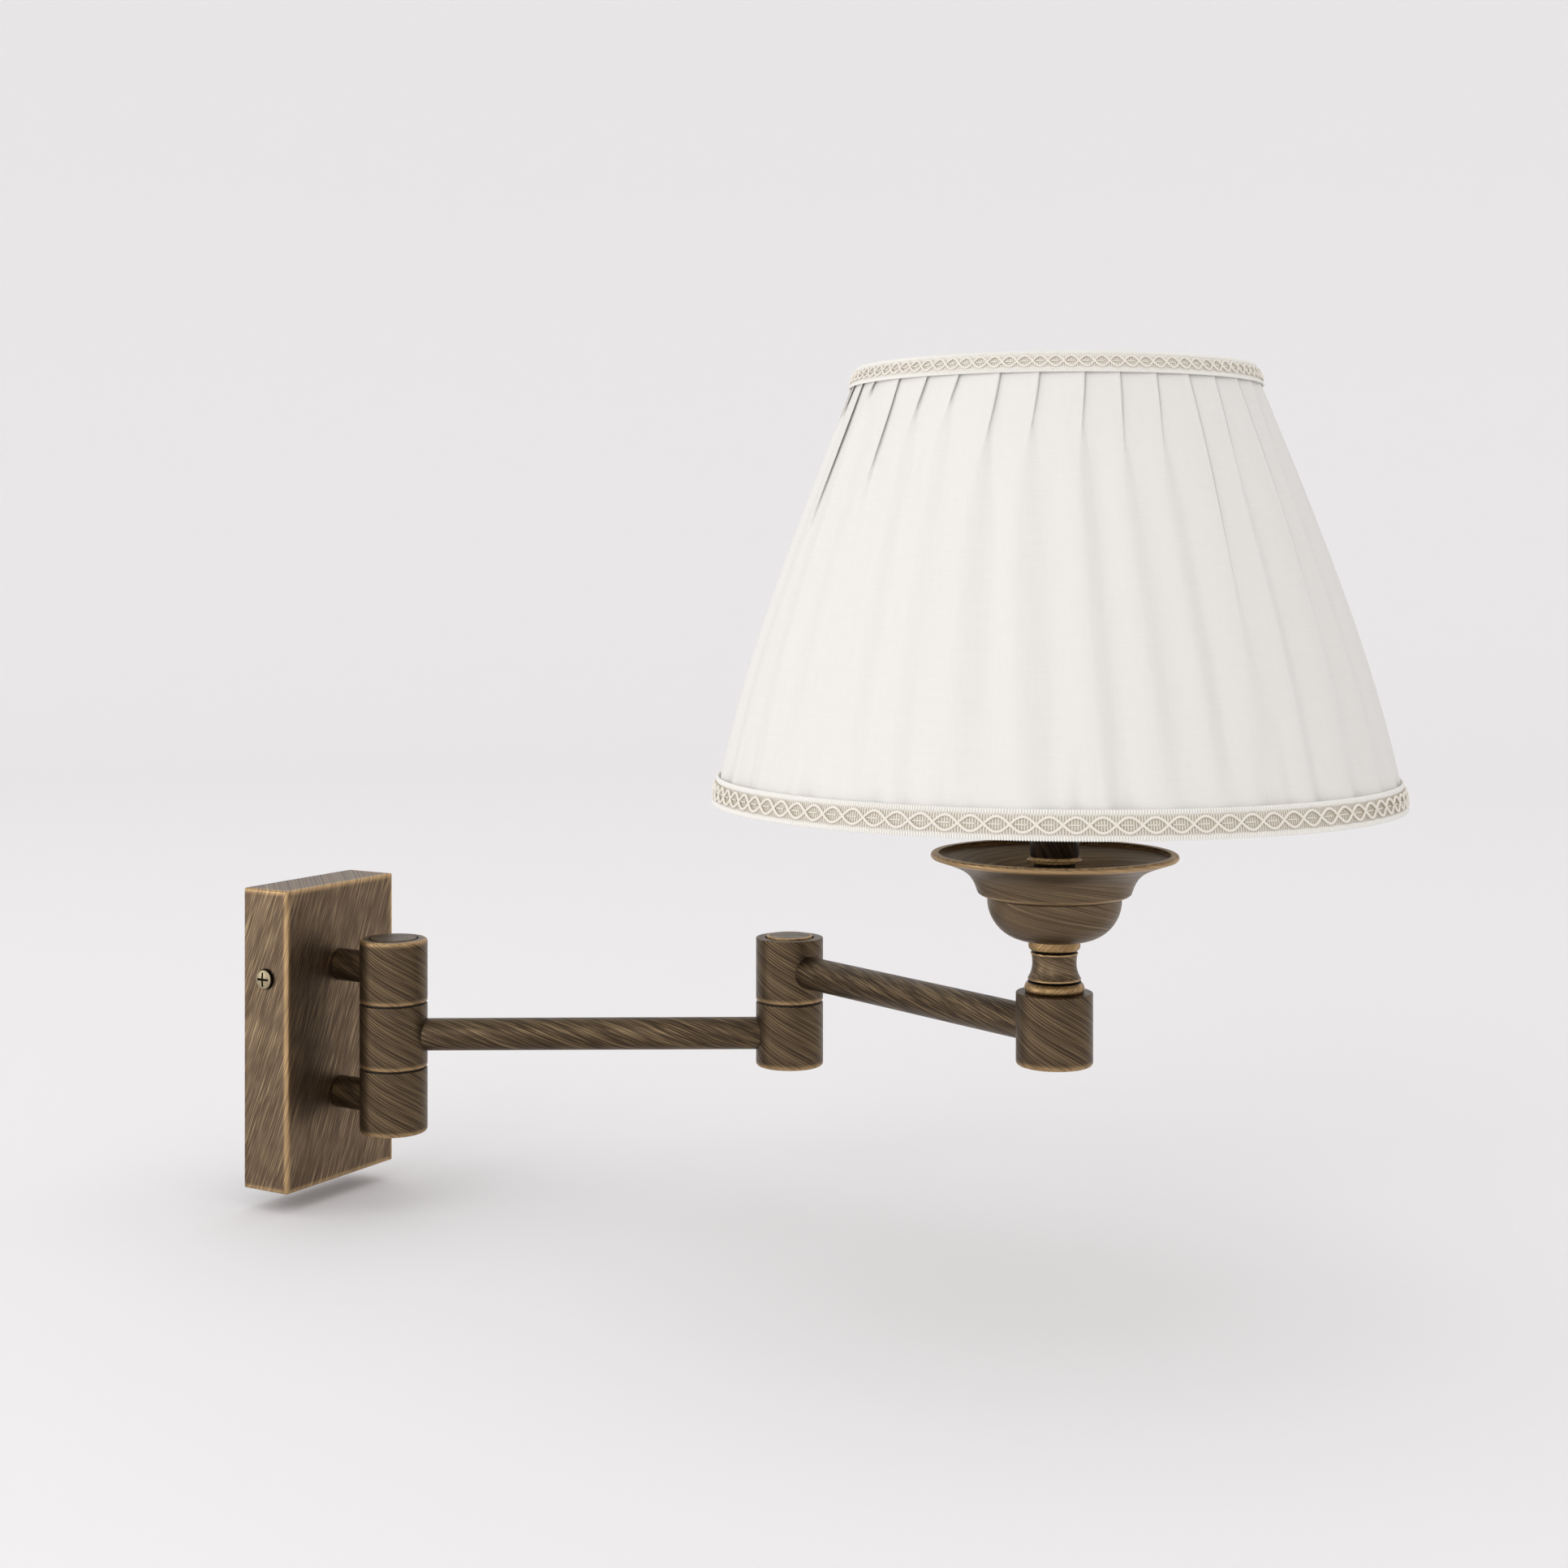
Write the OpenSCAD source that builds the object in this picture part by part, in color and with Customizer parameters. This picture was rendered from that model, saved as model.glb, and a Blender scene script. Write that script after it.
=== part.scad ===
// Swing arm wall lamp: a box backplate carries a three-barrel swivel, two tube
// arms meet at a two-barrel elbow, and the end post holds a dish, a lampholder
// and a pleated shade. The origin is on the wall, at the middle of the backplate.
// +Z is up, -Y points out of the wall and X runs along it.

/* [Backplate] */
// Height of the backplate cover
plate_h = 150; // [140:5:200]
// Width of the backplate cover
plate_w = 80; // [78:1:110]
// Depth of the backplate cover, from the wall to its face
plate_d = 28; // [26:1:34]
// Thickness of the cover's sheet metal
plate_wall = 1.2; // [1:0.1:1.6]
// Height of the two side screws above the middle of the plate
side_screw_z = 30.6; // [20:0.2:36]
// Distance between the two holes for wall screws
wall_screw_spacing = 100; // [90:5:110]

/* [Swivels] */
// Distance from the wall to the axis of the wall swivel
swivel_out = 62.2; // [56:0.1:80]
// Height of the wall swivel's middle above the middle of the plate
swivel_z = 1; // [-5:0.5:5]
// Diameter of every barrel
barrel_d = 33.7; // [32:0.1:40]
// Height from the middle of one barrel to the middle of the next
barrel_pitch = 32.3; // [30:0.1:36]
// Turn of the first arm away from straight out of the wall, in degrees
arm_1_angle = 31.5; // [-80:0.5:80]
// Turn of the second arm away from straight out of the wall, in degrees
arm_2_angle = -21.9; // [-60:0.1:60]

/* [Arms] */
// Length of the first arm, from axis to axis
arm_1_len = 198.5; // [150:0.5:300]
// Length of the second arm, from axis to axis
arm_2_len = 188.9; // [150:0.1:300]
// Diameter of the arm tubes and of the two wall stubs
tube_d = 16; // [14:0.5:18]

/* [Post] */
// Radius of the dish at its rim
dish_r = 54.1; // [50:0.1:60]
// Diameter of the tube between the dish and the lampholder
pillar_d = 21.3; // [21:0.1:24]

/* [Shade] */
// Radius of the shade's fabric at the bottom
shade_bottom_r = 149.1; // [140:0.1:170]
// Radius of the shade's fabric at the top
shade_top_r = 86; // [80:0.1:100]
// Height of the shade's fabric
shade_h = 188.5; // [175:0.5:200]
// Height of the shade's lower edge above the middle of the plate
shade_z = 133; // [130:1:140]
// How far the middle of the shade's side bows outwards
shade_bow = 7; // [0:0.1:10]
// Width of the braid around the bottom edge
braid_bottom_w = 12; // [8:0.5:16]
// Width of the braid around the top edge
braid_top_w = 8.8; // [6:0.2:12]

/* [Hidden] */
$fn = 96;

// Finishes
bronze = "#6b5c48";
worn_bronze = "#8f7a58";
screw_metal = "#b0a68c";
zinc = "#b9bcc0";
brass = "#c2a35c";
nylon = "#e8e6de";
black_nylon = "#2b2927";
bakelite = "#1c1b1a";
ivory = "#f1efe8";
beige = "#d9cdb8";

// Fits: a running or seated fit has this radial clearance, and a turning face this gap
fit = 0.05;
face_gap = 0.1;

// Barrels
barrel_r = barrel_d / 2;
washer_t = 0.4;
barrel_h = barrel_pitch - washer_t - face_gap;
soft_edge = 1.5;
crisp_edge = 0.5;
chamber_r = barrel_r - 4.5;
floor_t = 6;
seat_r = barrel_r - 4.35;

// Pivots
pivot_r = 7;
pivot_bore_r = 4.5;
pivot_nut_af = 19;
pivot_nut_h = 5;
pivot_end = 1.1;
window_low = -4;
window_high = 6;
window_half_angle = 125;

// Stop pins, and how far each swivel turns either way from straight
stop_pin_r = 1.2;
stop_pin_at = 11.5;
stop_pin_depth = 4;
stop_groove_r = 1.6;
stop_groove_depth = 3;
wall_turn = 90;
elbow_turn = 150;

// Tubes and stubs
tube_r = tube_d / 2;
tube_wall = 1.5;
spigot_r = 6;
spigot_bore_r = 4;
stub_chamfer = 0.6;

// Flex
flex_d = 4;
flex_bend = 8;
flex_gap = 0.7;
flex_sides = 10;
flex_lift = 3;

// Backplate and what it holds
plate_edge_r = 1.2;
stiffener = [60, 3, 110];
stub_washer = [22, 1.2];
stub_nut_af = 17;
stub_nut_h = 5;
strap = [30, 2, 124];
ear_h = 16;
ear_depth = 22;
ear_gap = 0.1;
screw_r = 2.5;
wall_screw_r = 2.75;
supply_hole_r = 10;
supply_hole_z = -8;
block = [34, 14, 16];
block_z = -32;
block_pitch = 10;
wire_d = 1.6;
flex_y = -strap[1] - block[1] / 2;
flex_end_z = 8;

// Post: heights above the middle of the plate
barrel_top = swivel_z + barrel_pitch + barrel_h / 2;
collar_lower_h = 4.8;
spool_h = 13.4;
dish_bottom = barrel_top + 22.7;
dish_wall = 1.2;
bowl_r = 18;
bowl_flat = 11.4;
bowl_z = dish_bottom + bowl_r;
nipple_r = 5;
nipple_bore_r = 3.8;
nipple_nut_af = 14;
nipple_nut_h = 4;
nipple_hole_r = nipple_r + fit;
spacer_r = 9;
ring_z = dish_bottom + 34.5;
pillar_z = ring_z + 2.3;
holder_z = dish_bottom + 78.5;
holder_r = 19.4;
body_z = holder_z + 18;
seat_z = body_z + 8;
fitter_z = body_z + 15.5;
fitter_t = 3;
bulb_z = seat_z + 1.5;
bulb_r = 30;
bulb_centre = bulb_z + 79.5;

// Shade
cloth_t = 3.2;
strut_r = 1.25;
rim_wire_r = 1.5;
struts = 8;
spokes = 3;
lining_t = 0.8;
trim_t = 1.6;
// A wire beside the sloping cloth takes this much more room sideways than its radius
slant = 1.07;
frame_in = cloth_t + rim_wire_r * slant + 2 * fit;
lining_in = frame_in + rim_wire_r * slant + 0.3;
profile_steps = 12;

// ---------------------------------------------------------------- curves

// Points on an arc in a plane, from one angle to another
function arc(centre, r, from, to, steps) = [
    for (i = [0:steps]) centre + r * [cos(from + (to - from) * i / steps), sin(from + (to - from) * i / steps)]
];

// Points on a cubic curve between p0 and p3
function curve(p0, p1, p2, p3, steps) = [
    for (i = [0:steps])
        let (t = i / steps, u = 1 - t)
        u * u * u * p0 + 3 * u * u * t * p1 + 3 * u * t * t * p2 + t * t * t * p3
];

// A list of points in the opposite order
function reversed(points) = [for (i = [len(points) - 1:-1:0]) points[i]];

// Outer radius of the shade's fabric at height z above its lower edge
function shade_r(z) =
    let (t = z / shade_h)
    shade_bottom_r + (shade_top_r - shade_bottom_r) * t + 4 * t * (1 - t) * (shade_bow - 0.58 * shade_bow * t);

// The shade's outline, set in by a distance, between two heights
function shade_outline(inset, from, to) = [
    for (i = [0:profile_steps])
        let (z = from + (to - from) * i / profile_steps)
        [shade_r(z) - inset, shade_z + z]
];

// Direction of a route at point i
function heading(route, i) =
    let (d = route[min(i + 1, len(route) - 1)] - route[max(i - 1, 0)])
    d / norm(d);

// A round wire along a route that lies in the plane square to the vector side
module wire(route, d, side, sides = flex_sides) {
    n = len(route);
    points = [
        for (i = [0:n - 1], k = [0:sides - 1])
            let (up = cross(heading(route, i), side))
            route[i] + d / 2 * (cos(360 * k / sides) * side + sin(360 * k / sides) * up)
    ];
    walls = [
        for (i = [0:n - 2], k = [0:sides - 1])
            let (a = i * sides + k, b = i * sides + (k + 1) % sides)
            [a, a + sides, b + sides, b]
    ];
    start = [for (k = [0:sides - 1]) k];
    end = [for (k = [sides - 1:-1:0]) (n - 1) * sides + k];
    polyhedron(points = points, faces = concat([start], walls, [end]));
}

// A quarter bend of a route in the plane x = 0: from angle a to angle b about a centre
function bend(centre, a, b) = [for (p = arc([centre[1], centre[2]], flex_bend, a, b, 6)) [0, p[0], p[1]]];

// ---------------------------------------------------------------- places

module at_wall_swivel() translate([0, -swivel_out, swivel_z]) children();

module at_arm_1() at_wall_swivel() rotate([0, 0, arm_1_angle]) children();

module at_elbow_lower() at_arm_1() translate([0, -arm_1_len, 0]) children();

module at_elbow() at_elbow_lower() rotate([0, 0, arm_2_angle - arm_1_angle]) children();

// The end post, with heights counted from the middle of the plate
module at_post() at_elbow() translate([0, -arm_2_len, -swivel_z]) children();

// ---------------------------------------------------------------- common shapes

// A round body turned from a half outline
module turned(outline) rotate_extrude() polygon(outline);

module ring(r_out, r_in, h) {
    difference() {
        cylinder(r = r_out, h = h);
        translate([0, 0, -1]) cylinder(r = r_in, h = h + 2);
    }
}

module hex_nut(af, hole_r, h) {
    difference() {
        cylinder(d = af / cos(30), h = h, $fn = 6);
        translate([0, 0, -1]) cylinder(r = hole_r, h = h + 2);
    }
}

// A plain barrel centred on its own middle; low and high are the radii of its lower and upper edges
module barrel_blank(low, high) {
    h = barrel_h / 2;
    turned(concat(
        [[0, -h]],
        arc([barrel_r - low, -h + low], low, -90, 0, 6),
        arc([barrel_r - high, h - high], high, 0, 90, 6),
        [[0, h]]
    ));
}

// The hole in a barrel's side where a tube enters along -Y, down to a distance from the axis
module tube_seat(depth_r) {
    translate([0, -depth_r, 0]) rotate([90, 0, 0]) cylinder(r = tube_r + fit, h = barrel_r);
}

// A barrel turned hollow from one end: its floor carries the bore, and the chamber opens upwards
module cup_barrel(bore_r, low, high) {
    h = barrel_h / 2;
    difference() {
        barrel_blank(low, high);
        translate([0, 0, -h + floor_t]) cylinder(r = chamber_r, h = barrel_h);
        translate([0, 0, -h - 1]) cylinder(r = bore_r, h = floor_t + 2);
        tube_seat(0);
    }
}

// The lid pressed into a chamber's mouth: its face stands proud by a small height, with a groove round it
module cap(proud) {
    r = chamber_r - fit;
    face_r = r - 0.7;
    turned([
        [0, proud - 2], [r - 1.2, proud - 2], [r - 1.2, -4], [r, -4], [r, -1.7],
        [face_r, -1.6], [face_r, proud - 0.3], [face_r - 0.3, proud], [0, proud]
    ]);
}

// An arc-shaped groove, centred on -Y, that lets a stop pin travel a number of degrees either way
module stop_groove(turn) {
    play = 1;
    half = turn + asin(stop_pin_r / stop_pin_at) + play;
    pin_room = asin(stop_groove_r / stop_pin_at);
    rotate([0, 0, -90 - half + pin_room])
        rotate_extrude(angle = 2 * (half - pin_room))
            translate([stop_pin_at - stop_groove_r, 0]) square([2 * stop_groove_r, stop_groove_depth + 1]);
    for (side = [-1, 1])
        rotate([0, 0, -90 + side * (half - pin_room)])
            translate([stop_pin_at, 0, 0]) cylinder(r = stop_groove_r, h = stop_groove_depth + 1);
}

// The blind hole that holds a stop pin, and the pin itself, on the -Y side
module at_stop_pin() translate([0, -stop_pin_at, 0]) children();

// A cross-head screw along +Z with its head's underside at z = 0
module cross_screw(r, head_r, head_h, length) {
    difference() {
        turned(concat(
            [[0, -length], [r - 0.4, -length], [r, -length + 0.4], [r, 0], [head_r, 0], [head_r, 0.5]],
            curve([head_r, 0.5], [head_r, head_h * 0.75], [head_r * 0.75, head_h], [0, head_h], 8)
        ));
        for (a = [0, 90])
            rotate([0, 0, a]) translate([-head_r * 0.68, -head_r * 0.11, head_h - 1.3])
                cube([head_r * 1.36, head_r * 0.22, 3]);
    }
}

// ---------------------------------------------------------------- backplate

// A rectangle with round corners, centred, as exact arcs
module round_rect(w, h, r) {
    square([w - 2 * r, h], center = true);
    square([w, h - 2 * r], center = true);
    for (x = [-1, 1], y = [-1, 1])
        translate([x * (w / 2 - r), y * (h / 2 - r)]) circle(r = r);
}

// A block with rounded edges whose back is cut off square at y = 0
module rounded_case(w, d, h, r) {
    intersection() {
        translate([0, 0, -h]) linear_extrude(2 * h) round_rect(w, 2 * d, r);
        translate([0, 2 * d, 0]) rotate([90, 0, 0]) linear_extrude(4 * d) round_rect(w, h, r);
        translate([-w, 0, 0]) rotate([90, 0, 90]) linear_extrude(2 * w) round_rect(2 * d, h, r);
        translate([-w, -2 * d, -h]) cube([2 * w, 2 * d, 2 * h]);
    }
}

// Places the two stubs' levels, one barrel above and one below the swivel's middle
module at_stub_levels() {
    for (level = [1, -1]) translate([0, 0, swivel_z + level * barrel_pitch]) children();
}

// The hole for a stub's spigot through the plate
module spigot_hole()
    translate([0, -plate_d / 2, 0]) rotate([90, 0, 0]) cylinder(r = spigot_r + fit, h = plate_d);

module backplate_cover() {
    color(bronze) difference() {
        rounded_case(plate_w, plate_d, plate_h, plate_edge_r);
        translate([-plate_w / 2 + plate_wall, -plate_d + plate_wall, -plate_h / 2 + plate_wall])
            cube([plate_w - 2 * plate_wall, plate_d, plate_h - 2 * plate_wall]);
        at_stub_levels() spigot_hole();
        translate([-plate_w, -plate_d / 2, side_screw_z]) rotate([0, 90, 0])
            cylinder(r = screw_r + 0.3, h = 2 * plate_w);
    }
}

module cover_stiffener() {
    color(zinc) difference() {
        translate([-stiffener[0] / 2, -plate_d + plate_wall, -stiffener[2] / 2]) cube(stiffener);
        at_stub_levels() spigot_hole();
    }
}

module wall_bracket() {
    ear_x = plate_w / 2 - plate_wall - ear_gap;
    color(zinc) difference() {
        union() {
            translate([-strap[0] / 2, -strap[1], -strap[2] / 2]) cube(strap);
            translate([-ear_x, -strap[1], side_screw_z - ear_h / 2]) cube([2 * ear_x, strap[1], ear_h]);
            for (side = [0, 1]) mirror([side, 0, 0])
                translate([ear_x - strap[1], -ear_depth, side_screw_z - ear_h / 2])
                    cube([strap[1], ear_depth, ear_h]);
        }
        for (z = [-1, 1]) translate([0, 1, z * wall_screw_spacing / 2]) rotate([90, 0, 0])
            cylinder(r = wall_screw_r, h = strap[1] + 2);
        translate([0, 1, supply_hole_z]) rotate([90, 0, 0]) cylinder(r = supply_hole_r, h = strap[1] + 2);
        translate([-plate_w, -plate_d / 2, side_screw_z]) rotate([0, 90, 0])
            cylinder(r = screw_r + fit, h = 2 * plate_w);
        translate([0, 1, side_screw_z + 2]) rotate([90, 0, 0]) cylinder(r = 2 + fit, h = strap[1] + 2);
    }
}

module cover_screws() {
    color(screw_metal) for (side = [-1, 1])
        translate([side * plate_w / 2, -plate_d / 2, side_screw_z]) rotate([0, side * 90, 0])
            cross_screw(screw_r, 5.2, 2.6, 9);
}

// The block's three ways, side by side
module at_block_ways() {
    for (i = [-1:1]) translate([i * block_pitch, flex_y, block_z]) children();
}

module terminal_block() {
    color(nylon) difference() {
        translate([-block[0] / 2, -strap[1] - block[1], block_z - block[2] / 2]) cube(block);
        at_block_ways() translate([0, 0, -block[2]]) cylinder(r = 2, h = 2 * block[2]);
        at_block_ways() for (z = [-4, 4])
            translate([0, 0, z]) rotate([90, 0, 0]) cylinder(r = 1.8, h = block[1]);
    }
}

module terminal_screws() {
    length = block[1] / 2 - wire_d / 2 - 0.5;
    color(brass) at_block_ways() for (z = [-4, 4])
        translate([0, -wire_d / 2, z]) rotate([90, 0, 0]) difference() {
            cylinder(r = 1.75, h = length);
            translate([-2, -0.3, length - 0.8]) cube([4, 0.6, 2]);
        }
}

module terminal_wires() {
    inner_end = block_z - 5;
    color("#7a4a2a") for (i = [-1:1])
        translate([0, flex_y, 0])
            wire(
                [for (p = concat(
                    curve(
                        [i * 1.8, flex_end_z - fit], [i * 1.8, -6],
                        [i * block_pitch, -4], [i * block_pitch, -18], 10
                    ),
                    [[i * block_pitch, inner_end]]
                )) [p[0], 0, p[1]]],
                wire_d, [0, 1, 0]
            );
}

module earth_screw() {
    color(brass) translate([0, -strap[1], side_screw_z + 2]) rotate([90, 0, 0])
        cross_screw(2, 3.8, 2, strap[1] + 2);
}

// ---------------------------------------------------------------- wall swivel

// A stub: a tube from the plate to a barrel, with a threaded spigot through the plate
module wall_stub(level) {
    inner_end = plate_d - plate_wall - stiffener[1] - stub_washer[1] - stub_nut_h - 1;
    outer_end = swivel_out - seat_r;
    color(bronze) translate([0, 0, swivel_z + level * barrel_pitch]) rotate([90, 0, 0]) difference() {
        turned([
            [0, inner_end], [spigot_r, inner_end], [spigot_r, plate_d], [tube_r - stub_chamfer, plate_d],
            [tube_r, plate_d + stub_chamfer], [tube_r, outer_end], [0, outer_end]
        ]);
        translate([0, 0, 1]) cylinder(r = spigot_bore_r, h = swivel_out);
        translate([0, 0, plate_d + 3]) cylinder(r = tube_r - tube_wall, h = swivel_out);
    }
}

module wall_stub_top() wall_stub(1);

module wall_stub_bottom() wall_stub(-1);

module stub_washers() {
    y = -plate_d + plate_wall + stiffener[1] + stub_washer[1];
    color(zinc) at_stub_levels() translate([0, y, 0]) rotate([90, 0, 0])
        ring(stub_washer[0] / 2, spigot_r + 0.2, stub_washer[1]);
}

module stub_nuts() {
    y = -plate_d + plate_wall + stiffener[1] + stub_washer[1] + stub_nut_h;
    color(brass) at_stub_levels() translate([0, y, 0]) rotate([90, 0, 0])
        hex_nut(stub_nut_af, spigot_r + fit, stub_nut_h);
}

module swivel_barrel_top() {
    color(bronze) at_wall_swivel() translate([0, 0, barrel_pitch]) difference() {
        rotate([0, 0, 180]) cup_barrel(pivot_r + fit, soft_edge, soft_edge);
        at_stop_pin() translate([0, 0, -barrel_h / 2 - 1]) cylinder(r = stop_pin_r, h = stop_pin_depth + 1);
    }
}

module swivel_barrel_bottom() {
    color(bronze) at_wall_swivel() translate([0, 0, -barrel_pitch]) rotate([180, 0, 0])
        cup_barrel(pivot_r + fit, crisp_edge, soft_edge);
}

// The hollow pivot: it is fixed in the outer barrels, and a window lets the flex out at the arm
module swivel_pivot() {
    reach = barrel_pitch - barrel_h / 2 + floor_t + pivot_nut_h + pivot_end;
    color(brass) at_wall_swivel() difference() {
        translate([0, 0, -reach]) cylinder(r = pivot_r, h = 2 * reach);
        translate([0, 0, -reach - 1]) cylinder(r = pivot_bore_r, h = 2 * reach + 2);
        rotate([0, 0, -90 - window_half_angle]) translate([0, 0, window_low])
            rotate_extrude(angle = 2 * window_half_angle)
                translate([pivot_bore_r - 1, 0]) square([pivot_r - pivot_bore_r + 2, window_high - window_low]);
    }
}

module swivel_nuts() {
    z = barrel_pitch - barrel_h / 2 + floor_t;
    color(brass) at_wall_swivel() for (side = [0, 1]) mirror([0, 0, side])
        translate([0, 0, z]) hex_nut(pivot_nut_af, pivot_r + fit, pivot_nut_h);
}

// Thin friction washers: each stays with the fixed barrel that it lies against
module swivel_washers() {
    z = barrel_pitch - barrel_h / 2 - washer_t;
    color(black_nylon) at_wall_swivel() {
        difference() {
            translate([0, 0, z]) ring(barrel_r - 1.2, pivot_r + fit, washer_t);
            at_stop_pin() translate([0, 0, z - 1]) cylinder(r = stop_pin_r + fit, h = washer_t + 2);
        }
        translate([0, 0, -z - washer_t]) ring(barrel_r - 1.2, pivot_r + fit, washer_t);
    }
}

module swivel_stop_pin() {
    z = barrel_pitch - barrel_h / 2;
    below = washer_t + face_gap + stop_groove_depth - 0.4;
    color(zinc) at_wall_swivel() at_stop_pin() translate([0, 0, z - below])
        cylinder(r = stop_pin_r, h = below + stop_pin_depth - 0.2);
}

module swivel_cap_top() color(bronze) at_wall_swivel() translate([0, 0, barrel_pitch + barrel_h / 2]) cap(0.3);

module swivel_cap_bottom()
    color(bronze) at_wall_swivel() translate([0, 0, -barrel_pitch - barrel_h / 2]) rotate([180, 0, 0]) cap(0.3);

// Where two lengths of flex meet on the wall swivel's axis, above the swivel's middle
wall_meet_z = flex_bend + 1.5;

module wall_flex() {
    level = swivel_z + barrel_pitch;
    color(nylon) wire(concat(
        [[0, flex_y, flex_end_z]],
        bend([0, flex_y - flex_bend, level - flex_bend], 0, 90),
        bend([0, -swivel_out + flex_bend, level - flex_bend], 90, 180),
        [[0, -swivel_out, swivel_z + wall_meet_z]]
    ), flex_d, [1, 0, 0]);
}

// ---------------------------------------------------------------- first arm

module swivel_barrel_middle() {
    color(bronze) at_arm_1() difference() {
        barrel_blank(soft_edge, crisp_edge);
        translate([0, 0, -barrel_h]) cylinder(r = pivot_r + fit, h = 2 * barrel_h);
        tube_seat(seat_r - 1.3);
        rotate([90, 0, 0]) cylinder(r = 5, h = barrel_r);
        translate([0, 0, barrel_h / 2 - stop_groove_depth]) stop_groove(wall_turn);
    }
}

module arm_tube(start, length) {
    color(bronze) translate([0, -start, 0]) rotate([90, 0, 0]) ring(tube_r, tube_r - tube_wall, length);
}

module arm_1_tube() at_arm_1() arm_tube(seat_r - 1.3, arm_1_len - 2 * seat_r + 1.3);

module elbow_barrel_lower() {
    color(bronze) at_elbow_lower() difference() {
        rotate([0, 180, 180]) cup_barrel(pivot_r + fit, crisp_edge, soft_edge);
        at_stop_pin() translate([0, 0, barrel_h / 2 - stop_pin_depth])
            cylinder(r = stop_pin_r, h = stop_pin_depth + 1);
    }
}

// Heights at the elbow, above the middle of the first arm
elbow_ceiling = barrel_h / 2 - floor_t;
elbow_floor = barrel_pitch - barrel_h / 2 + floor_t;
spring_washer_t = 1.2;

module elbow_pivot() {
    low = elbow_ceiling - pivot_nut_h - pivot_end;
    high = elbow_floor + face_gap + spring_washer_t + pivot_nut_h + pivot_end;
    color(brass) at_elbow_lower() translate([0, 0, low]) ring(pivot_r, pivot_bore_r, high - low);
}

module elbow_nuts() {
    color(brass) at_elbow_lower() {
        translate([0, 0, elbow_ceiling - pivot_nut_h]) hex_nut(pivot_nut_af, pivot_r + fit, pivot_nut_h);
        translate([0, 0, elbow_floor + face_gap + spring_washer_t])
            hex_nut(pivot_nut_af, pivot_r + fit, pivot_nut_h);
    }
}

module elbow_spring_washer() {
    color(zinc) at_elbow_lower() translate([0, 0, elbow_floor + face_gap])
        ring(10.5, pivot_r + fit, spring_washer_t);
}

module elbow_washer() {
    color(black_nylon) at_elbow_lower() difference() {
        translate([0, 0, barrel_h / 2]) ring(barrel_r - 1.2, pivot_r + fit, washer_t);
        at_stop_pin() cylinder(r = stop_pin_r + fit, h = barrel_h);
    }
}

module elbow_stop_pin() {
    above = washer_t + face_gap + stop_groove_depth - 0.4;
    color(zinc) at_elbow_lower() at_stop_pin() translate([0, 0, barrel_h / 2 - stop_pin_depth + 0.2])
        cylinder(r = stop_pin_r, h = stop_pin_depth - 0.2 + above);
}

module elbow_cap_bottom()
    color(bronze) at_elbow_lower() translate([0, 0, -barrel_h / 2]) rotate([180, 0, 0]) cap(0.3);

elbow_meet_z = barrel_pitch - flex_bend - 4;

module arm_1_flex() {
    color(nylon) at_arm_1() wire(concat(
        [[0, 0, wall_meet_z - flex_gap]],
        bend([0, -flex_bend, flex_bend], 0, -90),
        bend([0, -arm_1_len + flex_bend, flex_bend], -90, -180),
        [[0, -arm_1_len, elbow_meet_z - flex_gap]]
    ), flex_d, [1, 0, 0]);
}

// ---------------------------------------------------------------- second arm

module elbow_barrel_upper() {
    color(bronze) at_elbow() translate([0, 0, barrel_pitch]) difference() {
        cup_barrel(pivot_r + fit, soft_edge, crisp_edge);
        translate([0, 0, -barrel_h / 2 + stop_groove_depth]) mirror([0, 0, 1]) stop_groove(elbow_turn);
    }
}

module elbow_cap_top() color(bronze) at_elbow() translate([0, 0, barrel_pitch + barrel_h / 2]) cap(1);

module arm_2_tube() at_elbow() translate([0, 0, barrel_pitch]) arm_tube(seat_r, arm_2_len - 2 * seat_r);

module end_barrel() {
    color(bronze) at_post() translate([0, 0, swivel_z + barrel_pitch]) rotate([0, 180, 180])
        cup_barrel(nipple_hole_r, crisp_edge, soft_edge);
}

module end_cap() color(bronze) at_post() translate([0, 0, barrel_top - barrel_h]) rotate([180, 0, 0]) cap(0.3);

// The flex leaves the elbow high in the tube, to clear the pivot, and drops to the tube's middle
module arm_2_flex() {
    level = barrel_pitch;
    color(nylon) at_elbow() wire(concat(
        [[0, 0, elbow_meet_z]],
        bend([0, -flex_bend, level + flex_lift - flex_bend], 0, 90),
        bend([0, -arm_2_len + flex_bend, level + flex_bend], -90, -180),
        [[0, -arm_2_len, holder_z + 13 - swivel_z]]
    ), flex_d, [1, 0, 0]);
}

// ---------------------------------------------------------------- post

module neck_collar_lower() {
    z = barrel_top;
    color(worn_bronze) at_post() turned(concat(
        [[nipple_hole_r, z], [12.3, z]],
        curve([12.3, z], [13.4, z + 0.6], [13.6, z + 3.2], [11.9, z + 4.4], 8),
        [[11.7, z + collar_lower_h], [nipple_hole_r, z + collar_lower_h]]
    ));
}

module neck_spool() {
    z = barrel_top + collar_lower_h;
    color(bronze) at_post() turned(concat(
        [[nipple_hole_r, z], [10.7, z], [10.7, z + 0.6], [11.6, z + 0.8], [11.6, z + 1.4]],
        curve([11.6, z + 1.4], [9.6, z + 4.5], [9.3, z + 8], [10, z + 11.5], 10),
        [[10.3, z + 12], [10.3, z + 12.7], [9.3, z + 12.9], [9.3, z + spool_h], [nipple_hole_r, z + spool_h]]
    ));
}

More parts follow.
